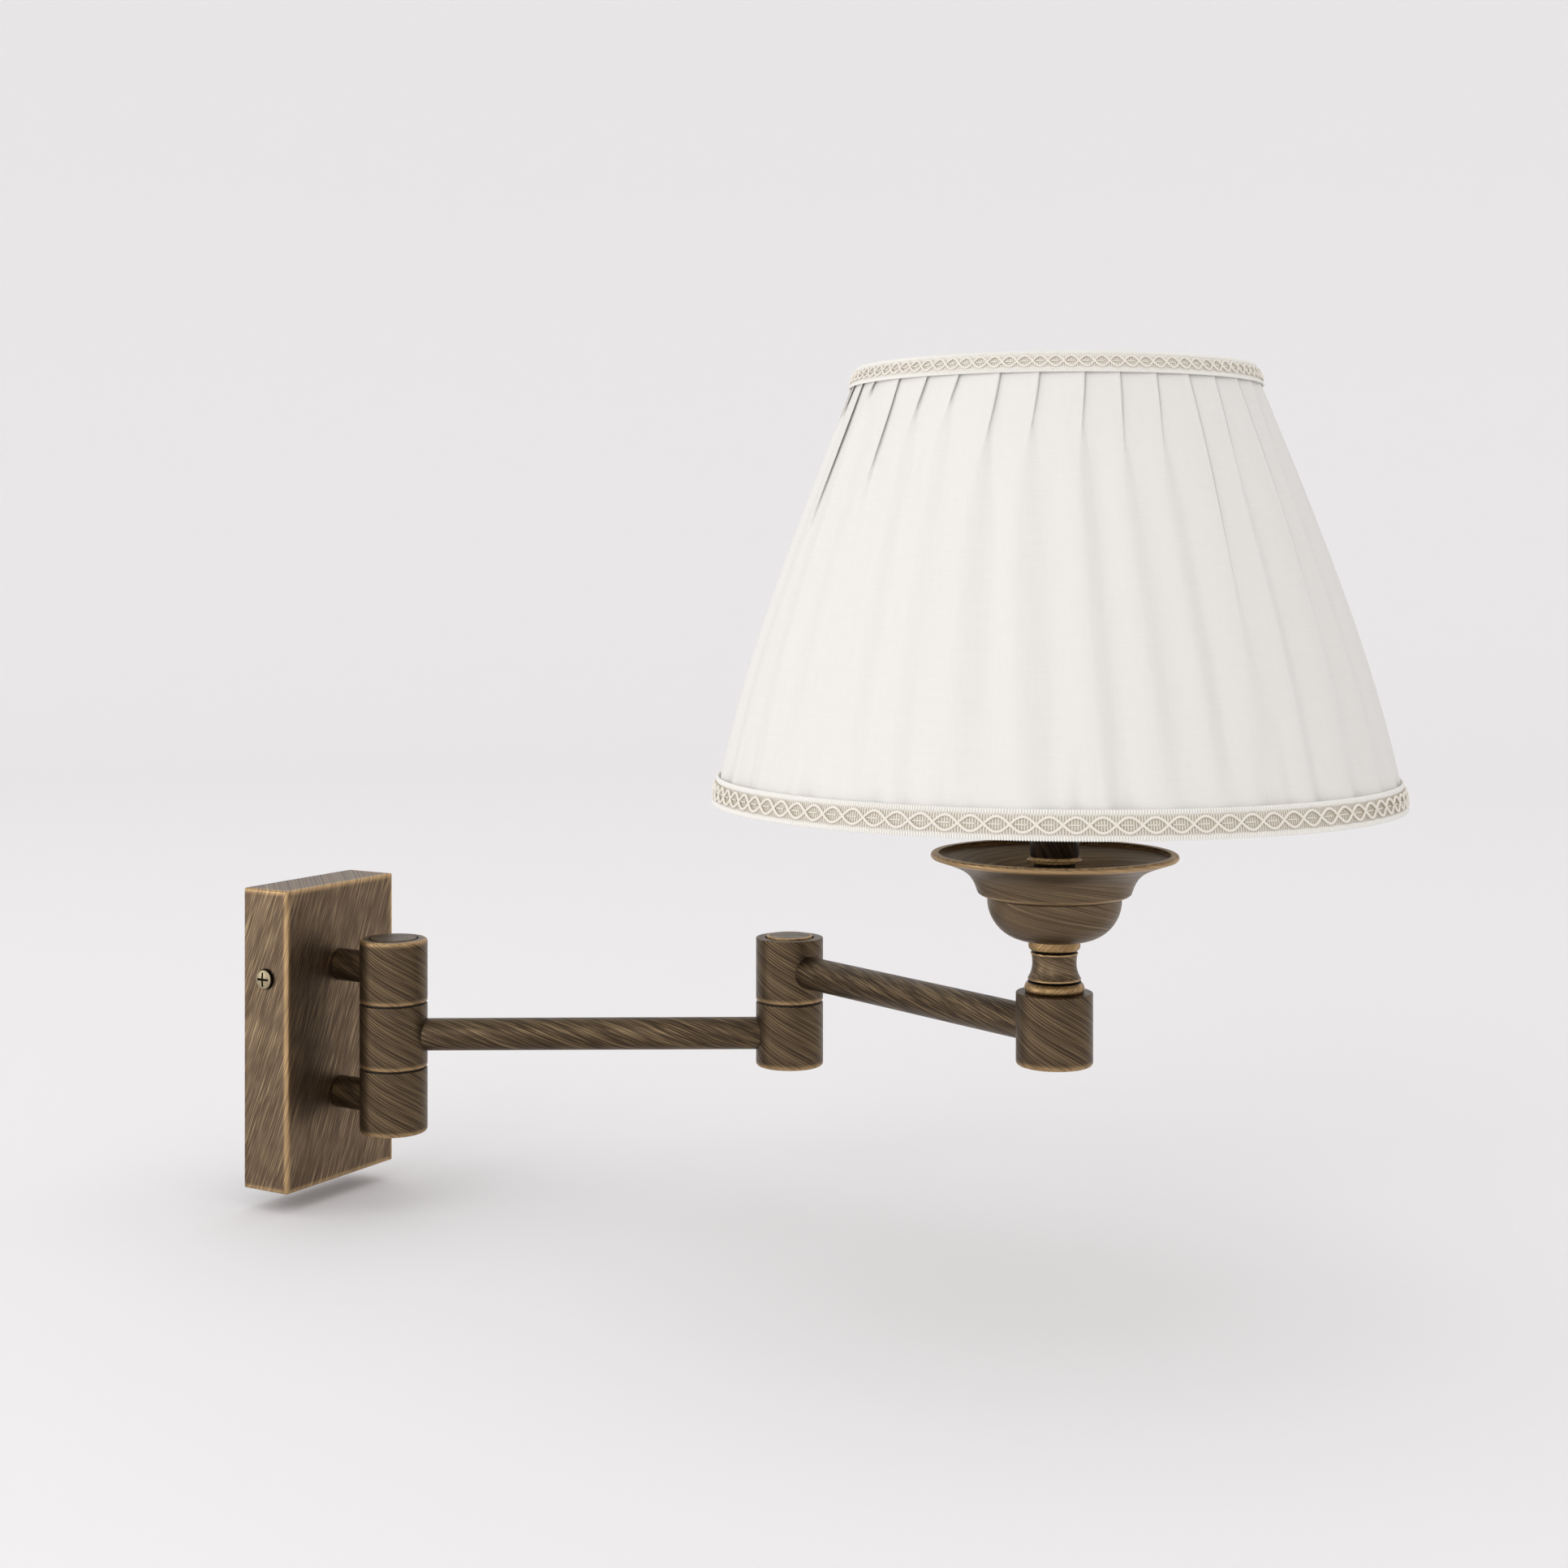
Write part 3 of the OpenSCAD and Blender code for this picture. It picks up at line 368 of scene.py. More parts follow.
def radius_and_height(tree, local):
    """Distance from the axis, and height along it, of a point in a round piece's own frame."""
    parts = add(tree, "ShaderNodeSeparateXYZ", {0: local})
    flat = add(tree, "ShaderNodeCombineXYZ", {0: parts.outputs["X"], 1: parts.outputs["Y"]})
    radius = add(tree, "ShaderNodeVectorMath", {0: flat.outputs[0]}, operation="LENGTH")
    return radius.outputs["Value"], parts.outputs["Z"]


def barrel_edges(ends):
    """Wear at a barrel's ends: +1 is its upper end and -1 its lower end."""

    def rubbed(tree, local, fine, colour):
        radius, height = radius_and_height(tree, local)
        at_side = near(tree, radius, barrel_radius, 0.9 * MM, 2.2 * MM)
        for end in ends:
            at_end = near(tree, height, end * barrel_half, 0.3 * MM, 3.2 * MM)
            edge = add(tree, "ShaderNodeMath", {0: at_end, 1: at_side}, operation="MULTIPLY")
            colour = worn_back(tree, colour, edge.outputs[0], fine, 0.85)
        return colour

    return rubbed


def plate_edges(tree, local, fine, colour):
    """The box's edges, where a point is near two of its sides, and painted shade round its two screws."""
    parts = add(tree, "ShaderNodeSeparateXYZ", {0: local})
    masks = []
    for name, half in (("X", plate_high.x), ("Y", -plate_low.y), ("Z", plate_high.z)):
        size = add(tree, "ShaderNodeMath", {0: parts.outputs[name]}, operation="ABSOLUTE")
        masks.append(near(tree, size.outputs[0], half, 0.6 * MM, 3.2 * MM))
    edge = None
    for one, other in ((0, 1), (1, 2), (0, 2)):
        both = add(tree, "ShaderNodeMath", {0: masks[one], 1: masks[other]}, operation="MULTIPLY").outputs[0]
        if edge:
            both = add(tree, "ShaderNodeMath", {0: edge, 1: both}, operation="MAXIMUM").outputs[0]
        edge = both
    colour = worn_back(tree, colour, edge, fine, 0.95)
    # Painted shade: a dark ring round each screw head, where the head meets the plate.
    seen_from_side = add(tree, "ShaderNodeVectorMath", {0: local}, {1: (0, 1, 1)}, operation="MULTIPLY")
    to_screw = add(tree, "ShaderNodeVectorMath", {0: seen_from_side.outputs[0]},
                   {1: (0, screw_place.y, screw_place.z)}, operation="DISTANCE")
    screw_shade = near(tree, to_screw.outputs["Value"], 0.0, screw_radius + 0.35 * MM, screw_radius + 0.9 * MM)
    shaded = add(tree, "ShaderNodeMix", {0: screw_shade, 6: colour}, {7: linear(SCREW_SHADE_COLOUR)}, data_type="RGBA")
    return shaded.outputs[2]


def dish_edges(tree, local, fine, colour):
    """The dish's rim, inside and out, and the edge of its step."""
    radius, height = radius_and_height(tree, local)
    rim = near(tree, radius, dish_rim, 2.2 * MM, 4.0 * MM)
    step_height = near(tree, height, STEP_HEIGHT, 0.7 * MM, 2.2 * MM)
    step_radius = near(tree, radius, STEP_RADIUS, 0.8 * MM, 3.5 * MM)
    step = add(tree, "ShaderNodeMath", {0: step_height, 1: step_radius}, operation="MULTIPLY")
    edge = add(tree, "ShaderNodeMath", {0: rim, 1: step.outputs[0]}, operation="MAXIMUM")
    return worn_back(tree, colour, edge.outputs[0], fine, 0.85)


def neck_seams(tree, local, fine, colour):
    """Painted shade in the two grooves that part the neck from its collars: a near-black colour."""
    radius, height = radius_and_height(tree, local)
    for end in (SPOOL_LOW, SPOOL_HIGH):
        groove = near(tree, height, end, 0.5 * MM, 0.65 * MM)
        shaded = add(tree, "ShaderNodeMix", {0: groove, 6: colour}, {7: linear(GROOVE_SHADE_COLOUR)}, data_type="RGBA")
        colour = shaded.outputs[2]
    return colour


def spool_edges(tree, local, fine, colour):
    """The two ends of the neck are worn beside its grooves, and the grooves get painted shade."""
    radius, height = radius_and_height(tree, local)
    for end in (SPOOL_LOW, SPOOL_HIGH):
        beside = near(tree, height, end, 1.0 * MM, 1.8 * MM)
        colour = worn_back(tree, colour, beside, fine, 0.8)
    return neck_seams(tree, local, fine, colour)


def lid_groove(tree, local, fine, colour):
    """Painted shade in the groove round a lid in a barrel's mouth."""
    radius, height = radius_and_height(tree, local)
    beyond = add(tree, "ShaderNodeMath", {0: radius}, {1: lid_radius + 0.1 * MM}, operation="GREATER_THAN")
    shaded = add(tree, "ShaderNodeMix", {0: beyond.outputs[0], 6: colour}, {7: linear(GROOVE_SHADE_COLOUR)}, data_type="RGBA")
    return shaded.outputs[2]


def proud_lid(tree, local, fine, colour):
    """The elbow's lid stands proud, so its rim is worn; its groove gets painted shade."""
    radius, height = radius_and_height(tree, local)
    rim = near(tree, radius, lid_radius, 0.6 * MM, 1.5 * MM)
    return lid_groove(tree, local, fine, worn_back(tree, colour, rim, fine, 0.9))


# %% [markdown]
# ## Giving the bronze to the pieces
# Every round piece gets its own place and axis, so that its strokes wind round itself and stay on it
# when the lamp swings.

# %% Bronze on the barrels, tubes, plate and dish
UPRIGHT = (0, 0, 1)
TUBE_RADIUS = 8 * MM
DISH_RADIUS = 30 * MM
NECK_RADIUS = 10 * MM
PILLAR_RADIUS = 11 * MM
COLLAR_RADIUS = 12 * MM


def twist_of(radius, degrees):
    """Radians for each metre of a helix that leans by some degrees from level, on a given radius."""
    return 1 / (radius * math.tan(math.radians(degrees)))


def level(point, height):
    """A point moved to a height."""
    return Vector((point.x, point.y, height))


for name, centre, ends in (
    ("swivel_barrel_top", swivel, (-1, 1)),
    ("swivel_barrel_middle", swivel, (-1,)),
    ("swivel_barrel_bottom", swivel, (-1,)),
    ("elbow_barrel_upper", elbow, (-1,)),
    ("elbow_barrel_lower", elbow, (-1,)),
    ("end_barrel", post, (-1,)),
):
    dress(brushed_bronze(f"brushed_bronze_{name}", level(centre, middle(name).z), UPRIGHT,
                         twist_of(barrel_radius, 30), barrel_edges(ends)), name)

# The caps' grooves get painted shade.
for stack, centre, names, rubbed in (
    ("swivel", swivel, ["swivel_cap_top", "swivel_cap_bottom"], lid_groove),
    ("elbow", elbow, ["elbow_cap_top", "elbow_cap_bottom"], proud_lid),
    ("end", post, ["end_cap"], lid_groove),
):
    dress(brushed_bronze(f"brushed_bronze_{stack}_caps", level(centre, barrel_middle), UPRIGHT,
                         twist_of(barrel_radius, 30), rubbed), *names)

for name, along, degrees in (
    ("wall_stub_top", Vector((0, -1, 0)), 66),
    ("wall_stub_bottom", Vector((0, -1, 0)), 66),
    ("arm_1_tube", level(elbow - swivel, 0), 66),
    ("arm_2_tube", level(post - elbow, 0), 76),
):
    dress(brushed_bronze(f"brushed_bronze_{name}", middle(name), along, -twist_of(TUBE_RADIUS, degrees),
                         None), name)

post_foot = level(post, dish_low.z)
dress(brushed_bronze("brushed_bronze_plate", (0, 0, 0), UPRIGHT, None, plate_edges, PLATE_BROWN),
      "backplate_cover")
dress(brushed_bronze("brushed_bronze_dish", post_foot, UPRIGHT, twist_of(DISH_RADIUS, 16), dish_edges,
                     LIGHT_BROWN, DISH_RADIUS), "dish")
dress(brushed_bronze("brushed_bronze_neck", post_foot, UPRIGHT, twist_of(NECK_RADIUS, 20), spool_edges,
                     LIGHT_BROWN), "neck_spool")
# The pillar and its spacer get the darkened bronze: painted shade, as they stand in the lampshade's shadow.
dress(brushed_bronze("bronze_pillar_painted_shade", post_foot, UPRIGHT, twist_of(PILLAR_RADIUS, 60), None,
                     PILLAR_PAINTED_SHADE_BROWN), "pillar_spacer", "pillar_tube")
# The collars get painted shade in the grooves beside the neck.
dress(brushed_bronze("rubbed_bronze_collars", post_foot, UPRIGHT, -twist_of(COLLAR_RADIUS, 40), neck_seams,
                     PALE_BROWN), "neck_collar_lower", "neck_collar_upper", "pillar_base_ring")
dressed = [node.data.materials[0] for node in nodes.values() if node.data.materials[0]]
print("bronze pieces:", sum("bronze" in material.name for material in dressed))

# %% [markdown]
# ## The small metal and plastic parts
# Most of these are hidden when the lamp hangs, but they show from below and when the pieces are taken
# apart: zinc-plated steel for the parts in the wall plate, plain brass for the threaded tubes and
# nuts, black moulded bakelite for the lampholder and its rings, nylon for washers and the terminal
# block, and white enamel on the shade's wire frame.

# %% Zinc, brass, nickel and plastics
METAL = {"Metallic": 1.0}
NYLON = {"IOR": 1.53}
PVC = {"IOR": 1.53}
SLOT_DEPTH = 1.0 * MM
# The next colour is painted shade in the screws' slots and under their heads.
SLOT_SHADE_COLOUR = "#1c150f"
GRAIN = 0.7 * MM


def plain_finish(name, colour, other, scale, values, roughness, bump_depth):
    """A finish whose colour drifts between two hex values over a distance of scale, with fine bumps."""
    material, tree, shader = new_material(name, values)
    where = add(tree, "ShaderNodeTexCoord")
    drift = add(tree, "ShaderNodeTexNoise", {"Vector": where.outputs["Object"]},
                {"Scale": 1 / scale, "Detail": 4.0, "Roughness": 0.6})
    mixed = add(tree, "ShaderNodeMix", {0: drift.outputs["Fac"]}, {6: linear(colour), 7: linear(other)},
                data_type="RGBA")
    tree.links.new(mixed.outputs[2], shader.inputs["Base Color"])
    polish = add(tree, "ShaderNodeMapRange", {0: drift.outputs["Fac"]},
                 {1: 0.3, 2: 0.7, 3: roughness[0], 4: roughness[1]})
    tree.links.new(polish.outputs[0], shader.inputs["Roughness"])
    grain = add(tree, "ShaderNodeTexNoise", {"Vector": where.outputs["Object"]}, {"Scale": 1 / GRAIN})
    bump = add(tree, "ShaderNodeBump", {"Height": grain.outputs["Fac"]},
               {"Strength": 0.3, "Distance": bump_depth})
    tree.links.new(bump.outputs[0], shader.inputs["Normal"])
    return material


dress(plain_finish("bright_zinc_plated_steel", "#c3c6c8", "#a9adb1", 9 * MM, METAL, (0.32, 0.46), 0.02 * MM),
      "cover_stiffener", "wall_bracket", "stub_washers", "swivel_stop_pin", "elbow_spring_washer",
      "elbow_stop_pin")
dress(plain_finish("turned_brass", "#cfae68", "#b8944f", 6 * MM, METAL, (0.24, 0.4), 0.02 * MM),
      "terminal_screws", "earth_screw", "stub_nuts", "swivel_pivot", "swivel_nuts", "elbow_pivot",
      "elbow_nuts", "post_nipple", "nipple_nuts", "lampholder_shell", "lampholder_contact")


def shaded_below(material, distance):
    """Painted shade on a screw nearer than a distance to the plane x = 0: in its slots, under its head."""
    tree = material.node_tree
    base = tree.nodes["Principled BSDF"].inputs["Base Color"]
    clean = base.links[0].from_socket
    where = add(tree, "ShaderNodeTexCoord")
    parts = add(tree, "ShaderNodeSeparateXYZ", {0: where.outputs["Object"]})
    inside = near(tree, parts.outputs["X"], 0.0, distance, distance + 0.25 * MM)
    slot_shaded = add(tree, "ShaderNodeMix", {0: inside, 6: clean}, {7: linear(SLOT_SHADE_COLOUR)}, data_type="RGBA")
    tree.links.new(slot_shaded.outputs[2], base)
    return material


# The screws get painted shade in their slots and round the base of their heads.
nickel = plain_finish("aged_nickel_screw", "#b3a78c", "#958768", 2 * MM, METAL, (0.3, 0.42), 0.03 * MM)
dress(shaded_below(nickel, screw_high.x - SLOT_DEPTH), "cover_screws")
dress(plain_finish("stamped_aluminium", "#d2d4d6", "#bcc0c3", 5 * MM, METAL, (0.3, 0.42), 0.02 * MM),
      "bulb_cap")
dress(plain_finish("moulded_bakelite", "#211f1e", "#161514", 12 * MM, {"IOR": 1.6}, (0.26, 0.36), 0.02 * MM),
      "lampholder_cap", "lampholder_body", "shade_ring_nuts")
dress(plain_finish("moulded_nylon", "#e9e6dc", "#dedacd", 10 * MM, NYLON, (0.42, 0.52), 0.02 * MM),
      "terminal_block")
dress(plain_finish("moulded_black_nylon", "#1d1b19", "#141312", 10 * MM, NYLON, (0.5, 0.6), 0.02 * MM),
      "swivel_washers", "elbow_washer")
dress(plain_finish("pvc_wire", "#7a4a2a", "#6d4024", 10 * MM, PVC, (0.4, 0.5), 0.02 * MM),
      "terminal_wires")
dress(plain_finish("pvc_sheath", "#e6e2d8", "#dad5c8", 10 * MM, PVC, (0.42, 0.55), 0.02 * MM),
      "wall_flex", "arm_1_flex", "arm_2_flex")
dress(plain_finish("white_enamelled_wire", "#eeece6", "#e3e0d8", 15 * MM, {"IOR": 1.5}, (0.3, 0.42),
                   0.03 * MM), "shade_rings", "shade_struts", "shade_fitter")
dress(plain_finish("opal_bulb_glass", "#f6f4ee", "#f1eee6", 30 * MM,
                   {"IOR": 1.5, "Subsurface Weight": 0.2, "Subsurface Radius": (0.002, 0.002, 0.002),
                    "Coat Weight": 0.5}, (0.12, 0.2), 0.0), "bulb_glass")
print("materials on CAD nodes:", len({n.data.materials[0].name for n in nodes.values()}))

# %% [markdown]
# ## The shade's cloth
# The cover is one strip of ivory cotton and silk. Along the top it is laid in knife pleats: each panel's
# right edge folds back under itself and lies over the start of the next. The strip is the same length
# top and bottom, but the shade is much wider at the bottom, so the pleats open downwards into soft
# folds, and what fullness is left is pinched into short gathers above the braid. A cloth simulation
# would give limp curtains, because the real cloth is pulled tight and sewn at both edges. So the
# section is worked out row by row: crisp overlapping pleats that relax into waves, each by its own
# amount, all from one seeded list of random numbers.

# %% Measures of the shade
PLEATS = 36
CLOTH_THICKNESS = 0.3 * MM


def cad_outline(name, edge):
    """Heights and radii of a round CAD node about the post, outermost or innermost at each height.
    A height is used only where the node has points on both its inner and its outer face."""
    points = np.array([v.co for v in nodes[name].data.vertices])
    radii = np.hypot(points[:, 0] - post.x, points[:, 1] - post.y)
    heights = np.unique(points[:, 2].round(4))
    rings = [radii[abs(points[:, 2] - h) < 1e-4] for h in heights]
    thickest = max(np.ptp(ring) for ring in rings)
    whole = [i for i, ring in enumerate(rings) if np.ptp(ring) > 0.5 * thickest]
    return heights[whole], np.array([edge(rings[i]) for i in whole])


cloth_heights, cloth_radii = cad_outline("shade_fabric", np.max)
CLOTH_LOW, CLOTH_HIGH = cloth_heights[0], cloth_heights[-1]
CLOTH_RISE = CLOTH_HIGH - CLOTH_LOW
print("shade: radius", cloth_radii[0].round(4), "to", cloth_radii[-1].round(4), "height", CLOTH_RISE.round(4))

# %% Each pleat's own numbers
chance = np.random.default_rng(11)


def edges_round(spread):
    """Angles of the pleats' edges, of uneven widths that add up to a full turn."""
    widths = chance.uniform(1 - spread, 1 + spread, PLEATS)
    return np.concatenate([[0], np.cumsum(widths / widths.sum())]) * math.tau


top_edges = edges_round(0.17)
bottom_edges = edges_round(0.26) + 0.02
crisp_length = chance.uniform(0.14, 0.42, PLEATS)
crisp_length[chance.permutation(PLEATS)[:10]] = chance.uniform(0.55, 0.95, 10)
fold_depth = chance.uniform(1.4, 2.35, PLEATS) * MM
fold_phase = chance.uniform(0, math.tau, PLEATS)
fold_width = chance.uniform(0.32, 0.55, PLEATS)
GATHERS = 84
gather_angle = chance.uniform(0, math.tau, GATHERS)
gather_width = chance.uniform(2.2, 4.6, GATHERS) * MM
gather_depth = chance.uniform(0.8, 1.9, GATHERS) * MM
gather_height = chance.uniform(0.1, 0.36, GATHERS)
print("pleats:", PLEATS, "gathers above the braid:", GATHERS)

# %% One row of the cloth
OVERLAP = 6.0 * MM
PLEAT_STEP = 1.0 * MM
PANEL_SHARE = 0.78
PANEL = np.array([0, 0.1, 0.2, 0.28, 0.36, 0.46, 0.56, 0.66, 0.76, 0.86, 0.93, 0.975])
RETURN = np.array([0, 0.12, 0.35, 0.65, 0.88])
STRIP_PER_PLEAT = 27.5 * MM


def smooth(x):
    """0 below 0, 1 above 1, and an even curve between."""
    x = np.clip(x, 0, 1)
    return x * x * (3 - 2 * x)


def fold_at(share, k):
    """How a pleat is folded at a share of the height: how crisp and how deep."""
    k = k % PLEATS
    crisp = smooth((share - 1 + crisp_length[k]) / min(crisp_length[k], 0.9))
    sway = 1 + 0.25 * math.sin(fold_phase[k] + 4 * share)
    held = 0.35 + 0.65 * smooth(share / 0.25)
    depth = fold_depth[k] * sway * held * (1 - crisp) + PLEAT_STEP * (0.36 + 0.64 * share ** 3) * crisp
    return crisp, depth


def edge_angle(share, k):
    """The angle of a pleat's front edge."""
    lap = k // PLEATS
    k = k % PLEATS
    return bottom_edges[k] + (top_edges[k] - bottom_edges[k]) * share + lap * math.tau


def row_of_cloth(share):
    """Angles, depths below the outermost line and lengths along the strip, of one row's points."""
    radius = np.interp(CLOTH_LOW + share * CLOTH_RISE, cloth_heights, cloth_radii)
    angles, depths, strip = [], [], []
    for k in range(PLEATS):
        crisp, depth = fold_at(share, k)
        next_crisp, next_depth = fold_at(share, k + 1)
        start, stop = edge_angle(share, k), edge_angle(share, k + 1)
        soft = fold_width[(k + 1) % PLEATS] * (stop - start)
        valley = start - OVERLAP / radius * crisp
        crest = stop - soft * (1 - next_crisp)
        next_valley = stop - OVERLAP / radius * next_crisp
        hidden = crisp * OVERLAP / (radius * (crest - valley))
        flat = np.clip((PANEL - hidden) / (1 - hidden), 0, 1)
        rise = (0.5 - 0.5 * np.cos(math.pi * PANEL)) * (1 - crisp) + flat * crisp
        angles.append(valley + (crest - valley) * PANEL)
        depths.append((depth * (1 - PANEL) + next_depth * PANEL) * (1 - rise))
        fall = (0.5 - 0.5 * np.cos(math.pi * RETURN)) * (1 - next_crisp) + RETURN * next_crisp
        angles.append(crest + (next_valley - crest) * RETURN)
        depths.append(next_depth * fall)
        strip.append((k + PANEL_SHARE * PANEL) * STRIP_PER_PLEAT)
        strip.append((k + PANEL_SHARE + (1 - PANEL_SHARE) * RETURN) * STRIP_PER_PLEAT)
    return np.concatenate(angles), np.concatenate(depths), np.concatenate(strip), radius


# %% [markdown]
# The rows are joined into one sheet. At both edges it is turned round the wire ring and in to the
# lining, as it is sewn on the real shade, and it is drawn in a little under the braid.

# %% The cloth
CLEAR = 0.15 * MM
SIDE_ROWS = 32
RING_ROOM = 1.95 * MM
RING_INSIDE = 4.85 * MM
RING_CENTRE = 1.5 * MM
TURN_IN = 8 * MM
DEEPEST_FOLD = 2.6 * MM
ring_low, ring_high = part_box("shade_rings")
lining_heights, lining_radii = cad_outline("shade_lining", np.max)


def sheet_mesh(name, rows, columns, length, heights):
    """A mesh of quads through rows of points, closed into a band. Its UV map is in metres: columns holds
    each point's place along the strip, length is where the strip meets itself, and heights is each row's."""
    count = len(columns)
    edges_along = [*columns, length]
    faces, corners = [], []
    for i in range(len(rows) - 1):
        for j in range(count):
            n = (j + 1) % count
            faces.append((i * count + j, i * count + n, (i + 1) * count + n, (i + 1) * count + j))
            left, right = edges_along[j], edges_along[j + 1]
            corners += [(left, heights[i]), (right, heights[i]),
                        (right, heights[i + 1]), (left, heights[i + 1])]
    mesh = bpy.data.meshes.new(name)
    mesh.from_pydata([tuple(p) for row in rows for p in row], [], faces)
    layer = mesh.uv_layers.new(name="cloth")
    layer.data.foreach_set("uv", np.array(corners).ravel())
    mesh.shade_smooth()
    return mesh


def round_post(angles, radii, height):
    """Points at angles and radii about the post, at one height or one height each."""
    heights = np.broadcast_to(height, angles.shape)
    return np.stack([post.x + radii * np.cos(angles), post.y + radii * np.sin(angles), heights], axis=1)


def hem(share, ring_height, turns):
    """Rows that take the cloth's edge under or over a wire ring and in to the lining."""
    angles, depths, strip, radius = row_of_cloth(share)
    ring_radius = radius - RING_INSIDE
    rows = []
    for turn in np.radians(turns):
        radii = ring_radius + RING_ROOM * 1.2 * math.cos(turn) - depths * 0.3
        rows.append(round_post(angles, radii, ring_height + RING_ROOM * math.sin(turn)))
    return rows


shares = np.concatenate([np.linspace(0.012, 0.1, 9)[:-1], np.linspace(0.1, 0.88, SIDE_ROWS),
                         np.linspace(0.88, 0.99, 15)[1:]])
rows = hem(0.0, ring_low.z + RING_CENTRE, (190, 225, 270, 315))
for share in shares:
    angles, depths, strip, radius = row_of_cloth(share)
    for j in range(GATHERS):
        away = (angles - gather_angle[j] + math.pi) % math.tau - math.pi
        fade = max(0.0, 1 - share / gather_height[j]) ** 1.3
        depths = depths + gather_depth[j] * fade * np.exp(-(away * radius / gather_width[j]) ** 2)
    depths = np.minimum(depths, DEEPEST_FOLD)
    drawn_in = 1.1 * MM * (1 - smooth(share / 0.07)) + 0.5 * MM * smooth((share - 0.95) / 0.05)
    rows.append(round_post(angles, radius - CLEAR - drawn_in - depths, CLOTH_LOW + share * CLOTH_RISE))
rows += hem(1.0, ring_high.z - RING_CENTRE, (45, 90, 135, 170))
slant = math.hypot(CLOTH_RISE, cloth_radii[0] - cloth_radii[-1])
strip_length, strip_height = PLEATS * STRIP_PER_PLEAT, slant + 2 * TURN_IN
turned_in = np.linspace(1 * MM, TURN_IN, 4)
heights = np.concatenate([-turned_in[::-1], shares * slant, slant + turned_in])
cloth_mesh = sheet_mesh("shade_cloth", rows, strip, strip_length, heights)
shade_cloth = bpy.data.objects.new("shade_cloth", cloth_mesh)
bpy.context.scene.collection.objects.link(shade_cloth)
thicken = shade_cloth.modifiers.new("thickness of the cloth", "SOLIDIFY")
thicken.thickness = CLOTH_THICKNESS
thicken.offset = -1
print("cloth:", len(cloth_mesh.polygons), "faces, a strip of", round(strip_length, 3), "by",
      round(strip_height, 3))

# %% [markdown]
# ## The lining
# Inside the frame a plain white lining is stretched tight from ring to ring. Between the struts it
# pulls a little towards the middle, which gives it eight faint corners.

# %% The lining
STRUTS = 8
SEAM_TURN = math.pi / STRUTS
LINING_PULL = 0.9 * MM
LINING_THICKNESS = 0.35 * MM
LINING_RADIUS = 120 * MM
lining_columns = np.linspace(0, math.tau, STRUTS * 24, endpoint=False)
lining_shares = np.linspace(0, 1, 22)


def lining_row(share):
    """One row of the lining: pulled in between the struts, most at half height."""
    height = lining_heights[0] + share * (lining_heights[-1] - lining_heights[0])
    radius = np.interp(height, lining_heights, lining_radii)
    between = np.abs(np.sin((lining_columns - SEAM_TURN) * STRUTS / 2))
    pull = LINING_PULL * between * (0.3 + 0.7 * math.sin(math.pi * share))
    return round_post(lining_columns, radius - CLEAR - pull, height)


lining_mesh = sheet_mesh("shade_inner_lining", [lining_row(share) for share in lining_shares],
                         lining_columns * LINING_RADIUS, math.tau * LINING_RADIUS, lining_shares * slant)
inner_lining = bpy.data.objects.new("shade_inner_lining", lining_mesh)
bpy.context.scene.collection.objects.link(inner_lining)
backing = inner_lining.modifiers.new("thickness of the lining", "SOLIDIFY")
backing.thickness = LINING_THICKNESS
backing.offset = -1

# %% [markdown]
# ## Woven cloth
# Silk and cotton cloth is a plain weave. It is matt, with a soft sheen at a low angle from the fibres
# that stand off it, and threads of uneven thickness (slubs) run both ways. Real threads are about
# 0.3 mm apart, too fine to show here, so they are drawn about three times as coarse. The pattern
# reads the cloth's own UV map, in metres along and across the strip, so it runs into the folds.

# %% Ivory cloth and lining cloth
THREAD = 0.9 * MM
SLUB = 16 * MM
THREAD_BUMP = 0.01 * MM


def woven(name, colour, shadow):
    """A plain weave with slubs both ways."""
    material, tree, shader = new_material(name, {
        "Roughness": 0.85, "Specular IOR Level": 0.15, "Sheen Weight": 0.05, "Sheen Roughness": 0.4})
    uv = add(tree, "ShaderNodeUVMap", uv_map="cloth")
    threads = []
    for scale in ((1 / SLUB, 1 / THREAD, 1), (1 / THREAD, 1 / SLUB, 1)):
        squeezed = add(tree, "ShaderNodeVectorMath", {0: uv.outputs[0]}, {1: scale}, operation="MULTIPLY")
        slubs = add(tree, "ShaderNodeTexNoise", {"Vector": squeezed.outputs[0]},
                    {"Scale": 1.0, "Detail": 2.0})
        threads.append(slubs.outputs["Fac"])
    both = add(tree, "ShaderNodeMath", {0: threads[0], 1: threads[1]}, operation="ADD")
    soft = add(tree, "ShaderNodeMapRange", {0: both.outputs[0]}, {1: 0.7, 2: 1.3})
    mixed = add(tree, "ShaderNodeMix", {0: soft.outputs[0]}, {6: linear(shadow), 7: linear(colour)},
                data_type="RGBA")
    tree.links.new(mixed.outputs[2], shader.inputs["Base Color"])
    bump = add(tree, "ShaderNodeBump", {"Height": soft.outputs[0]},
               {"Strength": 0.5, "Distance": THREAD_BUMP})
    tree.links.new(bump.outputs[0], shader.inputs["Normal"])
    return material


cloth_mesh.materials.append(woven("ivory_silk_cotton", "#e6e4e0", "#e3e1dd"))
lining_mesh.materials.append(woven("white_lining_cotton", "#e8e7e3", "#e5e3df"))
print("cloths:", cloth_mesh.materials[0].name, "and", lining_mesh.materials[0].name)

